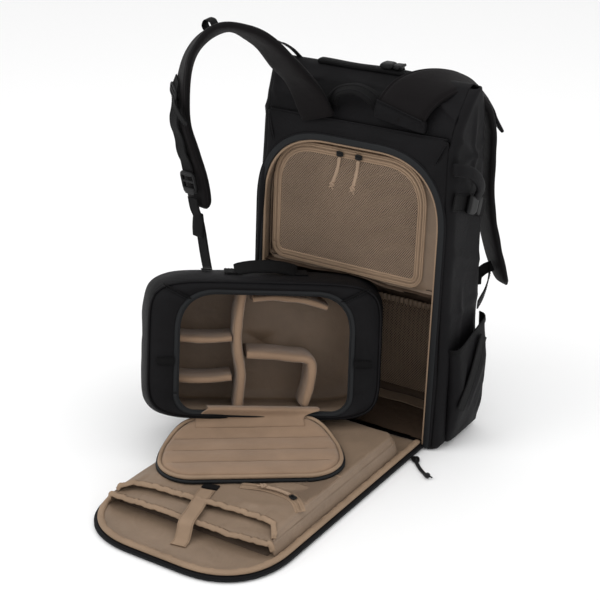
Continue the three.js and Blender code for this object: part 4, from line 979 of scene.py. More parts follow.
pocket_net = net("pocket_net", ((-POCKET_HALF, POCKET_HALF), (POCKET_LOW, POCKET_HIGH)), lay_pocket,
                 (0.0036, 0.0046), 0.00045, lambda x, z: (np.abs(x) < POCKET_HALF) & (z < POCKET_HIGH))
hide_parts("mesh_pocket")
hem_x = np.linspace(-POCKET_HALF, POCKET_HALF, 240)
hem = lay_pocket(np.stack([hem_x, np.full(240, POCKET_HIGH)], 1))
band("pocket_hem", hem + (0, -0.0006, 0.002), (0, -1, 0), 0.0095, 0.0022, "lining", power=3.0)
strip_high = 0.0112 + 0.0008 * np.sin(np.linspace(0, 19, 60))
strip = np.stack([np.linspace(-0.118, 0.118, 60), np.full(60, 0.028), strip_high], 1)
band("floor_webbing", strip, (0, 0, 1), 0.024, 0.0018, "lining", power=6.0, replaces=["floor_strip"])
print("lower space made")


# %% [markdown]
# ## The camera pod
# The pod is a padded box with a large window in its front. It stands on the door, turned and
# leaning back, so its panels are worked out in its own frame and then set in place. Its outline is a
# superellipse, which is how a sewn box with soft corners looks once it is filled.

# %% Outlines of the pod
def pod_window(grow=0.0, count=200):
    w = POD_WINDOW
    return arch(w["half"] + grow, w["bottom"] - grow, w["top"] + grow, w["corner"] + grow,
                foot=w["foot"] + grow, count=count)


def pod_outline(inner, grow=0.0):
    """The pod's outline, met by rays from its middle through the window's own points."""
    w = POD_WINDOW
    a = inner[:, 0] / w["half"]
    b = (inner[:, 1] - (w["top"] + w["bottom"]) / 2) / ((w["top"] - w["bottom"]) / 2)
    reach = (np.abs(a) ** POD_SQUARE + np.abs(b) ** POD_SQUARE) ** (-1 / POD_SQUARE)
    half, up = POD_HALF + grow, POD_HEIGHT / 2 + grow
    return np.stack([a * reach * half, POD_HEIGHT / 2 + b * reach * up], 1)


# %% Pod panels
WINDOW_SEAM = pod_window(0.003)


def pod_line(outline, depth):
    """An outline in the pod's own frame, as points in space."""
    return in_pod(outline[:, 0], depth, outline[:, 1])


def make_pod_front():
    """The padded frame round the window. It swells between its two seams."""
    inner = WINDOW_SEAM
    outer = pod_outline(inner, -0.0026)
    v = np.linspace(0, 1, 22)[:, None]
    x, z = lerp(inner[:, 0], outer[:, 0], v), lerp(inner[:, 1], outer[:, 1], v)
    swell = 0.0055 * np.sin(np.pi * v) ** 0.7 * np.ones_like(x)
    folds = bump_lines(x, z, [
        (-0.098, 0.168, -0.146, 0.192, 0.0022, -0.0030), (0.098, 0.168, 0.146, 0.192, 0.0022, -0.0030),
        (-0.105, 0.160, -0.150, 0.182, 0.0050, 0.0018), (0.105, 0.160, 0.150, 0.182, 0.0050, 0.0018),
        (-0.128, 0.030, -0.158, 0.060, 0.0050, 0.0016), (-0.130, 0.110, -0.160, 0.125, 0.0045, 0.0014),
        (0.130, 0.040, 0.158, 0.060, 0.0050, 0.0014), (0.135, 0.120, 0.155, 0.080, 0.0060, 0.0014)])
    grid = in_pod(x, -swell - folds - ripple(x, z, 21, 0.07, 0.0006), z)
    return surface("pod_front", grid, "nylon", out=pod_way((0, -1, 0)), wrap=True, wall=0.002,
                   replaces=["pod_shell"])


def pod_bulge(share):
    """How far the gusset stands out at a share of the depth."""
    return POD_BULGE * (-0.32 + 1.32 * np.sin(np.pi * np.clip(share, 0, 1)) ** 0.62)


def make_pod_gusset():
    share = np.linspace(0, 1, 30)
    grid = np.stack([pod_line(pod_outline(WINDOW_SEAM, pod_bulge(t)), t * POD_DEPTH) for t in share])
    middle = in_pod(0, POD_DEPTH / 2, POD_HEIGHT / 2)
    away = unit(grid - middle)
    size = lengths(grid[15])[None, :]
    across = (share * POD_DEPTH)[:, None]
    grid = grid + away * (ripple(size, across, 22, 0.06, 0.0008) * np.sin(np.pi * share)[:, None])[..., None]
    return surface("pod_gusset", grid, "nylon", away=middle, wrap=True, wall=0.002)


def make_pod_back():
    """The rear face, drawn from its seam to its middle, a little hollow."""
    outline = pod_outline(WINDOW_SEAM, pod_bulge(1.0))
    middle = np.array([0, POD_HEIGHT / 2])
    v = np.linspace(1, 0.001, 14)[:, None, None]
    flat = middle + (outline - middle) * v
    depth = POD_DEPTH + 0.002 * np.sin(np.pi * v[..., 0])
    grid = in_pod(flat[..., 0], depth, flat[..., 1])
    return surface("pod_back", grid, "nylon", out=pod_way((0, 1, 0)), wrap=True, wall=0.002)


for panel in (make_pod_front(), make_pod_gusset(), make_pod_back()):
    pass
PIPING = 0.0017           # radius of the pod's piping
tube("pod_front_piping", pod_line(pod_outline(WINDOW_SEAM, -0.0016), -0.0006), PIPING, "nylon", closed=True)
for side, sign in (("left", -1), ("right", 1)):
    t = np.linspace(0, 1, 20)
    swell = -0.0016 - 0.0048 * np.sin(np.pi * t) ** 0.7
    seam = in_pod(sign * lerp(0.106, 0.146, t), swell, lerp(0.172, 0.193, t))
    tube("pod_corner_seam_" + side, seam, 0.0011, "webbing")
    beside = seam + pod_way((sign * 0.0030, -0.0004, -0.0018))
    stitches("pod_corner_thread_" + side, [(beside, pod_way((0, -1, 0)))], "zip", pitch=0.0034)
tube("pod_back_piping", pod_line(pod_outline(WINDOW_SEAM, pod_bulge(1.0)), POD_DEPTH), PIPING, "nylon",
     closed=True)


# %% Pod window and lining
def make_pod_lining():
    """One tray of tan cloth: over the window's edge, out to the walls, back and in to the middle."""
    window = pod_window(0.0)
    walls = pod_outline(window, -0.0105)
    middle = np.array([0.0, POD_HEIGHT / 2])
    rows = [(window, -0.0005), (pod_window(0.0012), 0.0035), (lerp(window, walls, 0.5), 0.0085)]
    rows += [(walls, d) for d in np.linspace(0.012, 0.100, 12)]
    rows += [(middle + (walls - middle) * k, 0.1035) for k in (0.97, 0.8, 0.6, 0.4, 0.2, 0.001)]
    grid = np.stack([pod_line(line, depth) for line, depth in rows])
    size = lengths(grid[8])[None, :]
    fade = np.concatenate([np.ones(len(rows) - 6), [0.9, 0.5, 0.2, 0.05, 0, 0]])[:, None]
    push = ripple(size, np.linspace(0, 0.12, len(rows))[:, None], 23, 0.05, 0.0009) * fade
    grid = grid + (in_pod(0, 0.05, POD_HEIGHT / 2) - grid) * (push * 8)[..., None]
    inwards = (in_pod(0, 0.04, 0.1) - grid)[:-1].reshape(-1, 3)
    surface("pod_inside", grid, "lining", out=inwards, wrap=True, wall=0.0012, replaces=["pod_lining"])


make_pod_lining()
band("pod_window_tape", pod_line(np.vstack([pod_window(0.0022), pod_window(0.0022)[:1]]), -0.0014),
     pod_way((0, -1, 0)), 0.0062, 0.0032, "zip", power=2.4)
tube("pod_window_binding", pod_line(pod_window(-0.0014), 0.0006), PIPING, "zip", closed=True)


# %% Padded dividers
DIVIDER_REAR = 0.1025


def slab(name, points, front, thick, seed, **more):
    """A padded wall: a stadium section, from front to rear, carried along a line across the pod.
    Its thickness and its front edge wander a little, as foam in a sleeve of cloth does."""
    line = smooth(points, 60)
    along = unit(np.gradient(line, axis=0))
    normal = np.stack([-along[:, 1], along[:, 0]], 1)
    profile = ring_profile(36, 3.6)
    size = lengths(line)
    half = (DIVIDER_REAR - front) / 2
    swell = 1 + ripple(size, 0 * size, seed, 0.05, 0.07)
    wander = ripple(size, 0 * size + 1, seed + 1, 0.07, 0.0012)
    n = profile[None, :, 0] * (thick / 2 * swell)[:, None]
    depth = front + half + profile[None, :, 1] * half
    depth = depth + wander[:, None] * (profile[None, :, 1] < 0)
    bulge = ripple(size[:, None], depth, seed + 2, 0.03, 0.0007)
    n = n * (1 + bulge / (thick / 2))
    x = line[:, 0][:, None] + normal[:, 0][:, None] * n
    z = line[:, 1][:, None] + normal[:, 1][:, None] * n
    grid = in_pod(x, depth, z)
    core = in_pod(line[:, 0], front + half, line[:, 1])
    away = (grid - core[:, None])[:-1].reshape(-1, 3)
    piece = surface(name, grid, "padding", out=away, wrap=True, caps=True, **more)


DIVIDERS = {   # piece: points across and up the pod, front edge, thickness
    "divider_main": ([(-0.034, 0.013), (-0.031, 0.060), (-0.037, 0.095), (-0.038, 0.130), (-0.032, 0.187)],
                     0.015, 0.0155),
    "shelf_upper": ([(-0.153, 0.114), (-0.120, 0.111), (-0.080, 0.110), (-0.046, 0.113)], 0.020, 0.0125),
    "shelf_lower": ([(-0.154, 0.057), (-0.120, 0.052), (-0.080, 0.052), (-0.045, 0.056)], 0.020, 0.0125),
    "divider_corner": ([(-0.024, 0.090), (0.010, 0.089), (0.045, 0.086), (0.063, 0.084), (0.071, 0.076),
                        (0.070, 0.050), (0.062, 0.016)], 0.016, 0.0150),
    "divider_flap": ([(-0.018, 0.171), (0.010, 0.174), (0.030, 0.173), (0.060, 0.170), (0.090, 0.161)],
                     0.013, 0.012),
}
for order, (name, (points, front, thick)) in enumerate(DIVIDERS.items()):
    slab(name + "_pad", points, front, thick, seed=30 + 5 * order, replaces=[name])
print("dividers:", len(DIVIDERS))


# %% [markdown]
# ## The door and its pockets
# The door is the opening's own outline laid on the floor: a black zip edge outside, a gathered tan
# binding on top of it, and satin lining inside. The laptop sleeve and the tablet pocket lie on it as
# two low boxes of cloth, open towards the near end.

# %% Door
DOOR_FAR = -0.095
DOOR_TOP = 0.0088


def door_line(inset):
    """The door's outline on the floor, as x and y, from one end of the hinge to the other."""
    half, top, corner = (OPENING[key] - inset for key in ("half", "top", "corner"))
    line = arch(half, -0.018, top, corner, count=240)
    return np.stack([-line[:, 0], DOOR_FAR - line[:, 1]], 1)


def at_height(line, z):
    return np.column_stack([line, np.broadcast_to(z, len(line))])


def make_door():
    edge = door_line(0.0036)
    wave = np.random.default_rng(41)
    size = lengths(edge)
    gather = sum(np.sin(size / p * 6.283 + wave.uniform(0, 6.28)) for p in (0.009, 0.013, 0.021, 0.034)) / 4
    band("door_edge", at_height(edge, 0.0038), (0, 0, 1), 0.0085, 0.0074, "nylon", power=3.0,
         replaces=["door_panel"])
    rim = door_line(0.0075)
    away = unit(np.stack([np.gradient(rim[:, 1]), -np.gradient(rim[:, 0])], 1))
    rim = rim + away * (gather * 0.0005)[:, None]
    band("door_binding", at_height(rim, 0.0104 + 0.0004 * gather), (0, 0, 1), 0.0092 + 0.0012 * gather,
         0.0062 + 0.0010 * gather, "binding", power=2.5, replaces=["door_lining"])
    teeth("door_teeth", [(at_height(door_line(-0.0007), 0.0040), (0, 0, 1))], "zip",
          size=(0.0012, 0.0016, 0.0030))
    inner = door_line(0.011)
    v = np.linspace(1, 0.0, 40)[:, None]
    spine = np.stack([0 * inner[:, 0], np.clip(inner[:, 1], -0.46, -0.078)], 1)
    x, y = lerp(spine[:, 0], inner[:, 0], v), lerp(spine[:, 1], inner[:, 1], v)
    near = np.clip((v - 0.80) / 0.2, 0, 1)
    z = DOOR_TOP + 0.0016 * near ** 2 + ripple(x, y, 42, 0.075, 0.0006) + 0.0005 * near * gather
    field = surface("door_field", np.stack([x, y, z + 0 * x], -1), "lining", out=(0, 0, 1), wall=0.0035)
    under = np.stack([x, y, 0.0009 + 0 * x], -1)
    surface("door_underside", under, "nylon", out=(0, 0, -1))


make_door()


# %% Laptop sleeve and tablet pocket
def pocket(name, near, far, base, top, floor, height, corner, puckers, folds, seed, hem_line,
           replaces):
    """A low box of cloth that is open at its near end: side, rounded edge, top, rounded edge, side.
    base and top are its half widths at the floor and at the top. Its far corners are rounded in plan,
    and its near hem is puckered."""
    turn = np.sin(np.linspace(0.1, np.pi / 2, 12))
    rows = np.concatenate([np.linspace(near, far - corner, 56), far - corner + corner * turn])
    narrow = corner - np.sqrt(np.maximum(corner ** 2 - np.maximum(rows - far + corner, 0) ** 2, 0))
    drop = np.clip((rows - (far - 0.010)) / 0.010, 0, 1)
    tall = height * np.sqrt(np.maximum(1 - drop ** 2, 0.02))
    edge = 0.004
    t = np.linspace(0, np.pi / 2, 6)
    side = np.linspace(0, 1, 7)[:-1]
    flat = np.linspace(-1, 1, 78)[1:-1]
    up = np.concatenate([side, np.ones(6), np.ones(len(flat)), np.ones(6), side[::-1]])
    half = np.concatenate([0 * side - 1, 0 * t - 1, flat, 0 * t + 1, 0 * side + 1])
    turn_x = np.concatenate([0 * side, 1 - np.cos(t), 0 * flat, (1 - np.cos(t))[::-1], 0 * side])
    turn_z = np.concatenate([0 * side - 1, np.sin(t) - 1, 0 * flat, (np.sin(t) - 1)[::-1], 0 * side - 1])
    corner_at = np.concatenate([0 * side, 0 * t + 1, 0 * flat, 0 * t + 1, 0 * side]) > 0
    width = lerp(base, top, np.where(np.abs(half) < 1, 1.0, up))
    width = np.where((np.abs(half) < 1) | corner_at, top, width)
    shrink = np.where(np.abs(half) < 1, (top - edge) / top, 1.0)
    x = half * (width * shrink) * (1 - narrow[:, None] / base) - np.sign(half) * turn_x * edge
    y = rows[:, None] + 0 * x
    upright = np.arange(len(up))
    upright = (upright < len(side)) | (upright >= len(up) - len(side))
    z = floor + np.where(upright, up * np.maximum(tall[:, None] - edge, 0.0005),
                         tall[:, None] + turn_z * edge)
    on_top = (z > floor + tall[:, None] - 0.006)
    mouth = np.exp(-(y - near) / 0.018)
    draw = np.random.default_rng(seed)
    pinch = sum(np.sin(x / p * 6.283 + draw.uniform(0, 6.28)) for p in (0.011, 0.017, 0.026, 0.041)) / 4
    lift = puckers * pinch * mouth + bump_lines(x, y, folds) + ripple(x, y, seed + 1, 0.07, 0.0007)
    z = z + lift * on_top
    sag = 1 - (x / base) ** 2
    y = y + (0.006 * sag - 0.003 + np.interp(x / base, *hem_line)) * mouth
    grid = np.stack([x, y, z], -1)
    hem = grid[0, 4:-4]
    ruche = sum(np.sin(lengths(hem) / p * 6.283 + draw.uniform(0, 6.28)) for p in (0.006, 0.010, 0.017)) / 3
    hem = hem + ruche[:, None] * (0, 0.0006, 0.0005)
    band(name + "_hem", hem, (0, -0.5, 0.86), 0.0075 + 0.0010 * ruche, 0.0034 + 0.0008 * ruche, "binding",
         power=2.4)
    stitches(name + "_hem_thread", [(hem + (0, 0.0052, 0.0012), (0, 0, 1))], "binding", pitch=0.0034)
    # A sheet of lining darkened with painted shade, just inside the mouth, stands for the shadow under the
    # hem
    inside_x = np.linspace(-0.96, 0.96, 30) * top
    inside = [(near + 0.006 * (k == 0) + depth, high) for k, (depth, high) in
              enumerate(((0.004, 0.0012), (0.045, 0.0012), (0.060, height - 0.003)))]
    rows = [np.stack([inside_x, 0 * inside_x + a, 0 * inside_x + floor + b], 1) for a, b in inside]
    surface(name + "_inside", np.stack(rows), "shaded_lining", out=(0, -0.4, 1), wall=0.0008)
    return surface(name, grid, "lining", out=(0, 0, 1), wall=0.0014, replaces=replaces)


SLEEVE_FLOOR = 0.0088
SLEEVE_MIDDLE = 0.0266
POCKET_TOP = 0.0348
sleeve = pocket(
    "sleeve_cloth", -0.452, -0.106, 0.131, 0.126, SLEEVE_FLOOR, SLEEVE_MIDDLE - SLEEVE_FLOOR, 0.026, 0.0016,
    [(-0.120, -0.440, 0.020, -0.420, 0.006, 0.0012), (0.040, -0.446, 0.120, -0.425, 0.006, 0.0014)], 51,
    ([-1, 0, 0.5, 0.8, 1], [0, 0, 0.003, 0.009, 0.016]), ["laptop_sleeve"])
tablet = pocket(
    "tablet_cloth", -0.408, -0.110, 0.1245, 0.1205, SLEEVE_MIDDLE + 0.0004, POCKET_TOP - SLEEVE_MIDDLE, 0.024,
    0.0014,
    [(-0.110, -0.395, -0.030, -0.360, 0.007, 0.0016), (0.030, -0.400, 0.110, -0.360, 0.007, 0.0018),
     (0.020, -0.380, 0.115, -0.395, 0.005, 0.0014), (0.050, -0.330, 0.118, -0.300, 0.008, 0.0010),
     (0.118, -0.400, 0.118, -0.120, 0.004, 0.0008)], 53,
    ([-1, -0.93, -0.84, -0.70, 0, 0.70, 0.86, 0.95, 1],
     [-0.036, -0.028, -0.016, -0.012, -0.008, 0.004, 0.002, -0.012, -0.022]), ["tablet_pocket"])
print("pockets made")

# %% [markdown]
# ## The pod's lid
# The lid lies face down on the pockets: a tan padded panel with three faint rows of quilting, a
# corded binding round it, and the black half of its zip below.

# %% Lid
LID_PLACE = np.array([-0.053, -0.229, 0.0005])
LID_TURN = math.radians(35)
LID_LOW = 0.0352
QUILTING = (-0.098, -0.066, -0.034)


def in_lid(x, y, z):
    c, s = math.cos(LID_TURN), math.sin(LID_TURN)
    x, y, z = np.broadcast_arrays(x, y, z)
    return LID_PLACE + np.stack([c * x - s * y, s * x + c * y, z], -1)


def lid_outline(inset):
    """Round near corners, and sides that draw in towards the hinge."""
    half, near, far = 0.127 - inset, -0.135 + inset, 0.008 - inset
    corner, hinge = 0.050 - inset, 0.080 - inset
    t = np.linspace(0, np.pi / 2, 24)
    c, s = np.cos(t), np.sin(t)
    right = np.vstack([np.stack([half - corner + corner * s, near + corner - corner * c], 1),
                       np.stack([hinge + (half - hinge) * c,
                                 near + corner + (far - near - corner) * s], 1)[1:]])
    left = right[::-1] * (-1, 1)
    return resample(np.vstack([right, left]), 220, closed=True)


def lid_rise(y):
    """The lid curls up where its hinge meets the window."""
    return 0.0140 * np.clip((y + 0.045) / 0.052, 0, 1.1) ** 2


def make_lid():
    middle = np.array([0.0, -0.066])
    edge_high, crown = 0.0045, 0.0075
    outline = lid_outline(0.0035)
    v = np.concatenate([np.linspace(0.001, 0.93, 34), np.linspace(0.945, 1.0, 8)])[:, None]
    flat = middle + (outline - middle)[None] * v[..., None]
    x, y = flat[..., 0], flat[..., 1]
    round_off = np.sqrt(np.maximum(1 - np.clip((v - 0.93) / 0.07, 0, 1) ** 2, 0))
    z = LID_LOW + edge_high + crown * round_off + lid_rise(y)
    quilt = sum(np.exp(-((y - at) / 0.0016) ** 2) for at in QUILTING)
    puff = 0.0004 * np.cos((y + 0.066) / 0.032 * 2 * np.pi)
    z = z + (-0.0008 * quilt - puff + ripple(x, y, 61, 0.05, 0.0005)) * round_off
    pad = surface("lid_pad", in_lid(x, y, z), "padding", out=(0, 0, 1), wrap=True, wall=0.002,
                  replaces=["pod_lid_pad"])

    def along_rim(grow, high, closed=False):
        line = lid_outline(grow)
        if closed:
            line = np.vstack([line, line[:1]])
        return in_lid(line[:, 0], line[:, 1], LID_LOW + high + lid_rise(line[:, 1]))

    tube("lid_binding", along_rim(0.0015, 0.0078), 0.0029, "binding", closed=True)
    band("lid_zip", along_rim(-0.0002, 0.0022, True), (0, 0, 1), 0.0060, 0.0056, "zip", power=2.6,
         replaces=["pod_lid"])
    teeth("lid_teeth", [(along_rim(-0.0032, 0.0024), (0, 0, 1))], "zip", size=(0.0012, 0.0014, 0.0026))
    row = np.linspace(-0.108, 0.108, 120)
    threads = [(in_lid(row, at, LID_LOW + 0.0118 + lid_rise(at)), (0, 0, 1)) for at in QUILTING]
    stitches("lid_quilting", threads, "padding", pitch=0.0036, thread=0.0005)
    lower = middle + (lid_outline(0.001) - middle) * np.linspace(1, 0.001, 6)[:, None, None]
    x, y = lower[..., 0], lower[..., 1]
    surface("lid_underside", in_lid(x, y, LID_LOW + 0.0008 + lid_rise(y)), "nylon", out=(0, 0, -1), wrap=True,
            wall=0.0015)


def make_hinge():
    """The lid's tan lip, which runs over the pod's lower edge into its window."""
    across = np.linspace(-0.080, 0.080, 70)
    rows = [in_pod(across, 0.0160, 0.0165), in_pod(across, 0.0020, 0.0185), in_pod(across, -0.0090, 0.0160),
            in_lid(across * 0.97, 0.0020, LID_LOW + 0.0258), in_lid(across * 0.97, -0.0130, LID_LOW + 0.0186)]
    size = np.linspace(0, 1, 16)[:, None]
    grid = smooth(np.stack(rows).reshape(5, -1), 16).reshape(16, 70, 3)
    grid[..., 2] += ripple(across[None, :], size * 0.03, 63, 0.04, 0.0008) * np.sin(np.pi * size)
    surface("lid_hinge", grid, "padding", out=(0, -0.5, 1), wall=0.0016)


make_lid()
make_hinge()
print("lid made")

# %% [markdown]
# ## Shoulder straps
# A strap is foam between two layers of nylon, with a piped edge. It is a band along a route whose
# rows give its place, the way it faces, its width and its thickness, as shares of the bag's sizes.

# %% Routes
PAD_WIDTH, PAD_THICK = 0.070, 0.014
LEFT_ROUTE = np.array([   # across, out, height, bearing, rise, width, thickness
    [-0.33, -0.345, 0.880, 180, 4, 0.80, 0.75],
    [-0.42, -0.433, 0.970, 166, 20, 0.96, 0.95],
    [-0.50, -0.600, 1.032, 164, 27, 1.00, 1.00],
    [-0.61, -0.733, 1.092, 161, 39, 0.98, 1.00],
    [-0.73, -0.833, 1.122, 173, 58, 0.98, 0.95],
    [-0.92, -0.900, 1.132, 243, 70, 0.96, 0.90],
    [-1.17, -0.900, 1.086, -60, 46, 0.86, 1.00],
    [-1.35, -0.847, 1.017, -45, 22, 0.76, 1.00],
    [-1.48, -0.767, 0.918, -32, 10, 0.68, 1.00],
    [-1.545, -0.700, 0.828, -22, 0, 0.66, 1.00],
    [-1.52, -0.633, 0.742, -17, -5, 0.68, 1.00],
    [-1.48, -0.593, 0.662, -14, 0, 0.74, 0.95],
    [-1.47, -0.560, 0.600, -14, 2, 0.72, 0.85],
    [-1.47, -0.548, 0.572, -14, 2, 0.40, 0.60]])
RIGHT_ROUTE = np.array([
    [0.46, -0.345, 0.900, 0, 0, 1.12, 0.75],
    [0.48, -0.315, 0.938, 5, 25, 1.10, 0.95],
    [0.53, -0.215, 0.972, 15, 45, 1.06, 1.00],
    [0.61, -0.070, 0.992, 35, 66, 1.02, 1.00],
    [0.73, 0.110, 0.998, 80, 76, 1.00, 0.95],
    [0.87, 0.330, 0.962, 120, 52, 1.00, 0.95],
    [0.885, 0.500, 0.880, 135, 16, 1.00, 1.00],
    [0.875, 0.570, 0.800, 135, 0, 1.00, 1.00],
    [0.875, 0.580, 0.690, 135, -1, 1.00, 1.00],
    [0.91, 0.595, 0.590, 135, -3, 1.00, 1.00],
    [0.97, 0.620, 0.500, 135, -6, 0.97, 0.95],
    [1.04, 0.650, 0.425, 135, -8, 0.80, 0.80],
    [1.08, 0.670, 0.395, 135, -8, 0.40, 0.60]])


def facing_of(bearing, rise):
    """The way a face looks, from its bearing and rise in degrees; either may be a row of values."""
    b, r = np.broadcast_arrays(np.radians(bearing), np.radians(rise))
    return np.stack([np.cos(r) * np.sin(b), -np.cos(r) * np.cos(b), np.sin(r)], -1)


def strap_frame(route, count):
    """Path, facing, width and thickness of a strap at evenly spread places on its route."""
    rows = np.column_stack([route[:, :3] * BAG_SIZE, facing_of(route[:, 3], route[:, 4]),
                            route[:, 5] * PAD_WIDTH, route[:, 6] * PAD_THICK])
    rows[0, 1] = section(rows[0, 2])[2] - rows[0, 7] / 2 - 0.0018
    fine = smooth(rows, count)
    along = unit(np.gradient(fine[:, :3], axis=0))
    facing = fine[:, 3:6]
    facing = unit(facing - along * np.sum(facing * along, 1, keepdims=True))
    return fine[:, :3], facing, fine[:, 6], fine[:, 7]


def make_strap(side, route, seed):
    count = 150
    path, facing, width, thick = strap_frame(route, count)
    end = np.minimum(np.linspace(0, 1, count), np.linspace(1, 0, count)) * count / 7
    round_end = np.sqrt(np.clip(1 - (1 - np.clip(end, 0, 1)) ** 2, 0.08, 1))
    round_end[:8] = 1
    full = width * (0.75 + 0.25 * round_end)

    def relief(size, across):
        crown = -0.0022 * np.clip((np.abs(across) - 0.82) / 0.06, 0, 1) * (np.abs(across) < 0.93)
        return crown + ripple(size, across * 0.03, seed, 0.06, 0.0006)

    pad = band(f"strap_{side}_foam", path, facing, full, thick * round_end, "strap_nylon", power=3.2,
               sides=44, relief=relief, replaces=[f"strap_{side}_pad"])
    along = unit(np.gradient(path, axis=0))
    across = np.cross(facing, along)
    for name, sign in (("a", -1), ("b", 1)):
        edge = path + across * (sign * (full / 2 - 0.0012))[:, None]
        tube(f"strap_{side}_piping_{name}", edge[2:-2], 0.0016, "webbing")
    return path, facing, width, thick


left_strap = make_strap("left", LEFT_ROUTE, 71)
right_strap = make_strap("right", RIGHT_ROUTE, 73)
print("straps made")


# %% [markdown]
# ## Webbing and buckles
# Webbing is a thin band with a row of stitches near each edge. A moulded buckle is the same band,
# short and thick, with a table of widths along it that gives its shoulders and its waist.

# %% Webbing and moulded parts
WEB = 0.025
WEB_THICK = 0.0018


def webbing(name, rows, facing, width=WEB, look="webbing", count=60, stitched=True, thick=WEB_THICK, **more):
    """Webbing through a few points; the ribs of its weave run across it."""
    path = smooth(rows, count)
    facing = smooth(facing, count) if np.ndim(facing) == 2 else np.asarray(facing, float)
    piece = band(name, path, facing, width, thick, look, power=5.0, sides=24, **more)
    if stitched:
        along = unit(np.gradient(path, axis=0))
        out = unit(np.broadcast_to(facing, path.shape) - along * np.sum(facing * along, 1, keepdims=True))
        side = np.cross(out, along) * (np.broadcast_to(width, count) * 0.42)[:, None]
        edges = [(path + sign * side + out * thick / 2, out) for sign in (1, -1)]
        stitches(name + "_thread", edges, look, pitch=0.0036, thread=0.0005)
    return piece


def moulding(name, centre, along, out, widths, thick, size, look="hardware", **more):
    """A moulded part: widths at evenly spread places along its length, and a rounded section."""
    along, out = unit(np.asarray(along, float)), unit(np.asarray(out, float))
    t = np.linspace(-0.5, 0.5, 25)
    path = np.asarray(centre) + t[:, None] * size * along
    width = np.interp(t, np.linspace(-0.5, 0.5, len(widths)), widths)
    ends = np.sqrt(np.clip(1 - (np.abs(t) * 2) ** 8, 0.12, 1))
    return band(name, path, out, width, thick * ends, look, power=4.0, sides=24, **more)


def loop_ring(name, centre, along, out, length, width, thick, bars, **more):
    """A flat frame with bars across it, as a slider or ladder lock has."""
    along, out = unit(np.asarray(along, float)), unit(np.asarray(out, float))
    across = np.cross(out, along)
    outline = ring_profile(60, 6.0) * [length / 2, width / 2]
    path = np.asarray(centre) + outline[:, :1] * along + outline[:, 1:] * across
    tube(name, path, thick / 2, "hardware", closed=True, **more)
    reach = across * width * 0.47
    for order, (place, radius) in enumerate(bars):
        middle = np.asarray(centre) + place * length * along
        tube(f"{name}_bar{order}", np.linspace(middle - reach, middle + reach, 8), radius, "hardware")


def on_strap(strap, station, rows, out=0.0, aside=0.0):
    """A place on a strap's outer face by its row number, with the strap's own directions there."""
    path, facing, _, thick = strap
    at = station / (rows - 1) * (len(path) - 1)
    k = int(min(at, len(path) - 2))
    f = at - k
    along = unit(path[k + 1] - path[k])
    face = unit(lerp(facing[k], facing[k + 1], f))
    across = np.cross(face, along)
    lift = lerp(thick[k], thick[k + 1], f) / 2 + out
    place = lerp(path[k], path[k + 1], f) + face * lift + across * aside
    return place, along, face, across


def path_and_faces(spots):
    """The places and the faces of several spots on a strap, as two arrays."""
    return np.array([spot[0] for spot in spots]), np.array([spot[2] for spot in spots])


# %% Left strap's fittings
LEFT_ROWS, RIGHT_ROWS = len(LEFT_ROUTE), len(RIGHT_ROUTE)


def make_left_fittings():
    def spot(station, out=0.0, aside=-0.002):
        return on_strap(left_strap, station, LEFT_ROWS, out, aside)

    places = np.arange(7.55, 10.8, 0.25)
    found = [spot(k, 0.0024 + 0.0022 * (i % 4 in (1, 2))) for i, k in enumerate(places)]
    webbing("daisy_webbing", *path_and_faces(found), count=90, replaces=["strap_left_daisy"])
    for order, k in enumerate((8.05, 9.05, 10.05)):
        place, along, face, across = spot(k, 0.0030)
        rows = np.linspace(place - across * 0.012, place + across * 0.012, 12)
        band(f"daisy_tack{order}", rows, face, 0.0030, 0.0022, "webbing", power=2.5)
    place, along, face, across = spot(11.05, 0.0060)
    loop_ring("ladder_frame", place, along, face, 0.030, 0.029, 0.0052,
              [(-0.42, 0.0024), (-0.05, 0.0021), (0.36, 0.0026)], replaces=["strap_left_buckle"])
    moulding("ladder_lip", place + along * 0.013 + face * 0.002, along, face, [0.026, 0.028, 0.020], 0.005,
             0.011)
    place, along, face, across = spot(7.92, 0.0060)
    loop_ring("upper_slider", place, along, face, 0.016, 0.027, 0.0040, [(0.0, 0.0019)],
              replaces=["strap_left_slider"])
    place, along, face, across = spot(5.45, 0.0015, 0.0)
    arc = [place - along * 0.008, place - along * 0.007 + face * 0.007, place + face * 0.0115,
           place + along * 0.007 + face * 0.007, place + along * 0.008]
    sides = [-along, -along * 0.8 + face, face, along * 0.8 + face, along]
    webbing("crest_loop", arc, np.array(sides), width=0.016, count=40, stitched=False,
            replaces=["strap_left_crest_loop"])
    tail = [spot(8.05, 0.0070, 0.001), spot(8.18, 0.0085, 0.013), spot(8.36, 0.0060, 0.026),
            spot(8.56, 0.0022, 0.037)]
    webbing("strap_tail", *path_and_faces(tail), width=0.016, count=40, replaces=["strap_left_tail"])
    start = on_strap(left_strap, 2.8, LEFT_ROWS, 0.0018, 0.0)
    rows = np.array([[-0.67, -0.400, 1.075], [-0.73, -0.120, 1.040], [-0.75, 0.060, 1.006]]) * BAG_SIZE
    facing = np.array([start[2]] + [facing_of(150, 70)] * 3)
    webbing("lifter_webbing", np.vstack([start[0], rows]), facing, width=0.010, replaces=["load_lifter"])


LOWER_ROUTE = np.array([[-1.49, -0.645, 0.607], [-1.485, -0.620, 0.570], [-1.475, -0.560, 0.520],
                        [-1.485, -0.440, 0.370], [-1.440, -0.340, 0.250], [-1.270, -0.240, 0.160],
                        [-1.08, -0.180, 0.110], [-1.002, -0.160, 0.075]])


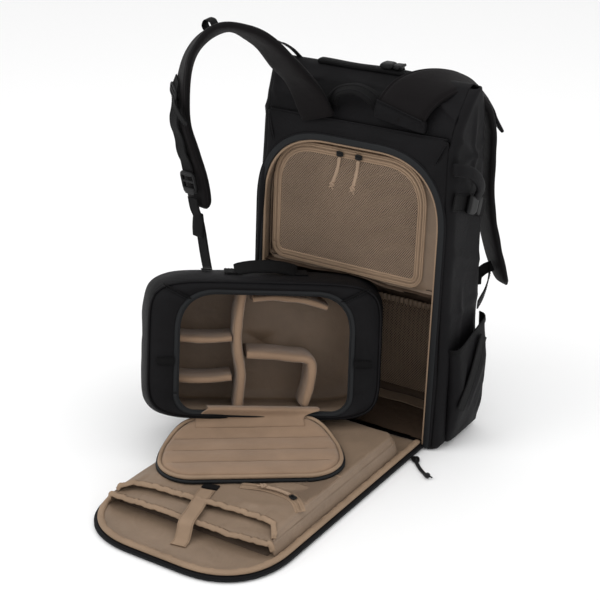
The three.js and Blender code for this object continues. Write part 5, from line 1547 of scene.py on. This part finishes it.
def make_lower_webbing():
    turns = [-8, -8, -8, -8, -26, -44, -62, -90]
    facing = facing_of(turns, 0)
    webbing("left_lower_webbing", LOWER_ROUTE * BAG_SIZE, facing, width=0.021, count=110,
            replaces=["strap_left_webbing"])
    place = LOWER_ROUTE[2] * BAG_SIZE
    out = facing_of(-8, 0)
    moulding("left_keeper", place + out * 0.0034, (0.05, 0, 1), out, [0.022, 0.024, 0.023, 0.019], 0.004,
             0.040, look="webbing", replaces=["strap_left_keeper"])
    rows = np.array([[0.970, 0.585, 0.455], [0.974, 0.556, 0.415], [0.992, 0.430, 0.385],
                     [1.004, 0.268, 0.365]])
    webbing("right_lower_webbing", rows * BAG_SIZE, facing_of(120, 0), width=0.019,
            replaces=["strap_right_webbing"])


def make_patch():
    """The sewn patch over the foot of the right strap, with two folds down it."""
    path, facing, width, thick = (part[:13] for part in right_strap)

    def relief(size, across):
        ridge, groove = np.exp(-((across - 0.18) / 0.07) ** 2), np.exp(-((across - 0.02) / 0.06) ** 2)
        return 0.0016 * (ridge - groove) * np.sin(np.pi * size / size.max())

    band("strap_patch", path - facing * 0.0003, facing, width * 1.03, thick + 0.0035, "nylon", power=4.0,
         sides=60, relief=relief)
    edge = path[-1] + facing[-1] * (thick[-1] / 2 + 0.0018)
    across = np.cross(facing[-1], unit(path[-1] - path[-2]))
    line = edge + np.linspace(-0.5, 0.5, 40)[:, None] * (width[-1] * 0.98) * across
    tube("patch_seam", line, 0.0009, "nylon")
    stitches("patch_thread", [(line - unit(path[-1] - path[-2]) * 0.003, facing[-1])], "webbing", pitch=0.003)


def make_right_fittings():
    """The pad's loose flap behind the ridge, and the end of the webbing at its tip."""
    spots = [on_strap(right_strap, station, RIGHT_ROWS, out, 0.0)
             for station, out in ((5.1, -0.002), (5.5, 0.000), (5.8, 0.002), (6.1, 0.0055), (6.35, 0.0095))]
    path, face = (smooth(part, 30) for part in path_and_faces(spots))
    band("strap_flap", path, unit(face), 0.046, 0.0060, "nylon", power=4.0, sides=28)
    rows = [(0.163, 0.089, 0.236), (0.154, 0.081, 0.231), (0.147, 0.075, 0.221), (0.146, 0.074, 0.207)]
    webbing("webbing_end", rows, facing_of(60, 20), width=0.016, count=30, thick=0.003)


make_left_fittings()
make_lower_webbing()
make_patch()
make_right_fittings()
print("strap fittings made")

# %% [markdown]
# ## Roll-top and grab handle
# The stiff hem lies on the ridge with its buckle, and its strap runs down the front of the bag. The
# handle is a padded arch between the two shoulder straps.

# %% Top of the bag
RIDGE_Y = float(section(HEIGHT)[2] + section(HEIGHT)[3]) / 2 - 0.002
BUCKLE_X = 0.034
HANDLE_FOOT = 0.912       # share of the bag's height


def make_top():
    x = np.linspace(-0.084, 0.061, 70)
    path = np.stack([x, RIDGE_Y + 0 * x, 0.5282 + 0.0006 * np.sin(x * 60)], 1)
    band("rolled_hem", path, (0, 0, 1), 0.0178, 0.0068, "webbing", power=3.4, replaces=["roll_hem"])
    edge = path + (0, -0.0062, 0.0030)
    stitches("hem_thread", [(edge, (0, 0, 1)), (edge + (0, 0.004, 0.0003), (0, 0, 1))], "webbing")
    base = np.array([BUCKLE_X, RIDGE_Y, 0.5364])
    moulding("clip_body", base + (-0.006, 0, 0), (1, 0, 0), (0, 0, 1), [0.0185, 0.0198, 0.0198, 0.0150],
             0.0088, 0.0190, replaces=["roll_buckle"])
    moulding("clip_tongue", base + (0.0095, 0, 0), (1, 0, 0), (0, 0, 1), [0.0130, 0.0170, 0.0185, 0.0190],
             0.0074, 0.0110)
    pin = np.linspace(base + (0.0148, -0.009, 0.0012), base + (0.0148, 0.009, 0.0012), 8)
    tube("clip_pin", pin, 0.0022, "hardware")
    shares = np.array([0.995, 0.970, 0.915, 0.850, 0.760])
    rear = section(shares * HEIGHT)[3] + 0.0031
    rows = np.stack([0 * shares + BUCKLE_X, rear, shares * HEIGHT], 1)
    rows = np.vstack([[[BUCKLE_X, RIDGE_Y + 0.0113, 0.5338]], rows])
    webbing("closing_strap", rows, facing_of(180, [90, 40, 25, 15, 8, 0]), replaces=["roll_strap"])
    half_span, stand, high, middle = 0.046, 0.032, 0.033, 0.009
    table = np.array([   # across, out and up as shares of half span, stand and height; rise
        [-1.00, 0.00, 0.00, 0], [-0.92, 0.34, 0.36, 30], [-0.62, 0.80, 0.80, 55], [-0.06, 1.00, 1.00, 62],
        [0.44, 0.80, 0.80, 55], [0.74, 0.34, 0.36, 30], [0.84, 0.00, 0.00, 0]])
    z = HANDLE_FOOT * HEIGHT + table[:, 2] * high
    y = section(z)[2] - lerp(0.0037, stand, table[:, 1])
    rows = np.stack([middle + table[:, 0] * half_span, y, z], 1)
    path = smooth(rows, 90)
    face = smooth(facing_of(0, table[:, 3]), 90)
    swell = np.sin(np.pi * np.linspace(0, 1, 90)) ** 0.5
    band("handle_grip", path, face, 0.0215, 0.0036 + 0.0024 * swell, "webbing", power=3.2, sides=30,
         replaces=["grab_handle"])
    along = unit(np.gradient(path, axis=0))
    out = unit(face - along * np.sum(face * along, 1, keepdims=True))
    across = np.cross(out, along)
    lift = out * (0.0018 + 0.0010 * swell)[:, None]
    for name, aside in (("a", 0.0050), ("b", -0.0050)):
        tube("handle_piping_" + name, path + across * aside + lift, 0.0008, "nylon")


make_top()
print("top made")

# %% [markdown]
# ## Right side
# A compression strap with a side-release buckle crosses the upper side, a padded loop hangs above it,
# and a stretch pocket with a diagonal strap covers the lower side.

# %% Side strap, loop and pocket
def side_x(z):
    return section(z)[1]


def make_side():
    y = np.array([-0.052, 0.0, 0.042])
    z = np.array([0.72, 0.685, 0.65]) * HEIGHT
    rows = np.stack([side_x(z) + 0.0019, y, z], 1)
    webbing("compression_webbing", rows, (1, 0, 0), replaces=["side_strap"])
    along = unit(rows[2] - rows[0])
    middle = rows[1] + (0.0052, 0, 0)
    moulding("side_clip", middle - along * 0.006, along, (1, 0, 0), [0.026, 0.028, 0.028, 0.021], 0.0082,
             0.026, replaces=["side_buckle"])
    moulding("side_tongue", middle + along * 0.0125, along, (1, 0, 0), [0.016, 0.023, 0.026, 0.0265], 0.0068,
             0.013)
    loop = np.array([[0.002, -0.056, 0.424], [0.010, -0.045, 0.422], [0.017, -0.022, 0.410],
                     [0.017, -0.002, 0.388], [0.006, 0.006, 0.364]])
    loop[:, 0] += side_x(loop[:, 2])
    band("padded_loop", smooth(loop, 40), (1, -0.3, 0.3), 0.018, 0.008, "nylon", power=2.4)


POUCH_ROWS = np.array([[0.020, 0.35], [0.090, 0.85], [0.200, 1.00], [0.300, 0.80]])   # height, fullness
POUCH_BULGE = 0.017


def make_side_pocket():
    """Rows from the pocket's foot to its mouth; the mouth slopes up to the rear."""
    t = np.linspace(0, 1, 34)
    u = np.linspace(0, 1, 60)
    share = np.interp(t, np.linspace(0, 1, 4), POUCH_ROWS[:, 0])
    full = smooth(POUCH_ROWS[:, 1:], 34)[:, 0] * POUCH_BULGE
    y = lerp(-0.056, 0.038, u)[None, :] + 0 * t[:, None]
    slope = 0.28 * t[:, None] ** 2
    z = share[:, None] * HEIGHT + slope * (y + 0.056)
    round_off = np.clip(1 - (np.abs(u - 0.5) * 2) ** 10, 0, 1)[None, :] ** 0.5
    folds = bump_lines(y, z, [
        (-0.045, 0.06, -0.020, 0.14, 0.005, -0.002), (-0.02, 0.05, 0.03, 0.13, 0.006, 0.002),
        (0.01, 0.03, 0.045, 0.10, 0.005, -0.0016)])
    uneven = (folds + ripple(y, z, 91, 0.05, 0.0008)) * (t > 0.05)[:, None]
    x = side_x(z) + 0.0012 + (full[:, None] + uneven) * round_off
    pouch = surface("stretch_pocket", np.stack([x, y, z], -1), "nylon", out=(1, 0, 0), wall=0.0014,
                    replaces=["side_pocket"])
    hem = np.stack([x[-1], y[-1], z[-1]], 1)
    band("pocket_binding", hem + (0.0002, 0, -0.004), (1, 0, 0), 0.010, 0.0022, "webbing", power=3.0)
    rows = np.array([[0.12, -0.046, 0.83], [0.2, -0.020, 1.0], [0.30, 0.016, 0.93]])
    z = rows[:, 0] * HEIGHT
    points = np.stack([side_x(z) + rows[:, 2] * POUCH_BULGE + 0.0034, rows[:, 1], z], 1)
    webbing("diagonal_strap", points, (1, 0, 0), replaces=["side_pocket_strap"])


make_side()
make_side_pocket()
print("right side made")

# %% [markdown]
# ## Small fittings on the pod, the compartment and the pockets
# Zip sliders are all one shape in two sizes: a waisted body with a bridge.

# %% Sliders, tabs and the retaining strap
def slider(name, centre, along, out, size, node_name):
    """A slider's body, narrower at its tail, and the bridge over it."""
    along, out = unit(np.asarray(along, float)), unit(np.asarray(out, float))
    centre = np.asarray(centre, float)
    widths = np.array([0.6, 0.78, 0.70, 0.52]) * size
    moulding(name + "_body", centre, along, out, widths, 0.0026, size, replaces=[node_name])
    t = np.linspace(0, np.pi, 14)
    arc = centre + np.outer(np.cos(t) * 0.32 * size, along) + np.outer(0.0010 + np.sin(t) * 0.0022, out)
    band(name + "_bridge", arc, np.cross(along, out) + out * 0.001, 0.0012, 0.0026, "hardware", power=2.5)


for side, share in (("left", -0.183), ("right", 0.063)):
    place = on_back(share * MESH["half"], SLIDER_DEPTH, MESH["top"] - BAND / 2)
    slider("slider_" + side, place, (1, 0, 0), BACK_OUT, 0.011, "compartment_slider_" + side)
slider("sleeve_slider", SLEEVE_SLIDER + (0, 0, -0.0012), (-0.97, 0.24, 0), (0, 0, 1), 0.011,
       "sleeve_zip_slider")
slider("door_slider", (0.154, -0.113, 0.0028), (0.62, -0.79, 0), (0, 0, 1), 0.016, "door_zip_slider")
slider("pod_slider", in_pod(-0.084, 0.055, POD_TOP + 0.0023), pod_way((1, 0, 0)), pod_way((0, 0, 1)), 0.016,
       "pod_zip_slider")

TAB_Z = 0.42 * POD_HEIGHT
for side, sign in (("left", -1), ("right", 1)):
    x = sign * 0.141 + np.linspace(-0.0128, 0.0128, 12)
    lift = -0.0072 - 0.0006 * np.sin(np.linspace(0, np.pi, 12))
    webbing("side_tab_" + side, in_pod(x, lift, TAB_Z), pod_way((0, -1, 0)), width=0.011, count=30,
            replaces=["pod_tab_" + side])

HANDLE_ROWS = np.array([[-44, 0], [-38, 3.2], [-20, 6.8], [4, 8], [24, 6.8], [40, 3.2], [46, 0]]) * 0.001
x, high = HANDLE_ROWS[:, 0], HANDLE_ROWS[:, 1]
webbing("carry_handle", in_pod(x, 0.040 - 0.6 * high, POD_TOP + 0.0022 + high), pod_way((0, -0.62, 0.78)),
        count=70, thick=0.0030, replaces=["pod_handle"])
for order, x in enumerate((-0.050, 0.052)):
    foot = in_pod(x + np.array([-0.009, 0, 0.009]), 0.040, POD_TOP + 0.0016)
    webbing(f"handle_foot{order}", foot, pod_way((0, -0.2, 1)), width=0.024, count=16)

arc_rows = np.array([[0.150, 54], [0.440, 66], [0.787, 63], [1.000, 42]]) * [0.122, 0.001]
arc_path = smooth(np.column_stack([arc_rows[:, 0], arc_rows[:, 1] - 0.408, np.full(4, 0.0360)]), 60)
band("sleeve_tape", arc_path, (0, 0, 1), 0.0148, 0.0016, "binding", power=5.0, replaces=["sleeve_zip_tape"])
teeth("sleeve_coil", [(arc_path + (0, 0, 0.0009), (0, 0, 1))], "binding", pitch=0.0016,
      size=(0.0009, 0.0028, 0.0009))
corners = np.array([[0.050, -0.336], [0.095, -0.333], [0.119, -0.348], [0.119, -0.262], [0.080, -0.262]])
net("sleeve_mesh", ((0.050, 0.119), (-0.350, -0.262)), lambda points: at_height(points, POCKET_TOP + 0.0012),
    (0.0022, 0.0022), 0.00036, in_outline(corners))
tube("mesh_seam", [(0.079, -0.262, POCKET_TOP + 0.0008), (0.099, -0.2615, POCKET_TOP + 0.0010),
                   (0.119, -0.262, POCKET_TOP + 0.0008)], 0.0012, "binding")
stitches("sleeve_tape_thread", [(arc_path + (0, aside, 0.0008), (0, 0, 1)) for aside in (0.006, -0.006)],
         "binding")

STRAP_ROWS = np.array([   # across, along and up in mm, rise of its face
    [-12.3, -388.5, 36.2, 90], [-8.0, -404, 36.8, 90], [-1.0, -432, 32.6, 72], [4.0, -456, 29.0, 60],
    [7.0, -466, 19.0, 35], [9.0, -474, 11.4, 50], [11.0, -485, 10.0, 90]])
webbing("holding_strap", STRAP_ROWS[:, :3] * 0.001, facing_of(8, STRAP_ROWS[:, 3]), width=0.0225,
        look="binding", count=80, replaces=["retaining_strap"])
tab_at = np.array([-0.0136, -0.379, 0.0360])
tab_way = np.array([math.cos(math.radians(12)), math.sin(math.radians(12)), 0])
webbing("bare_tab", tab_at + np.outer((-0.0112, 0, 0.0112), tab_way), (0, 0, 1), width=0.012, count=20,
        replaces=["blank_tab"])
print("small fittings made")
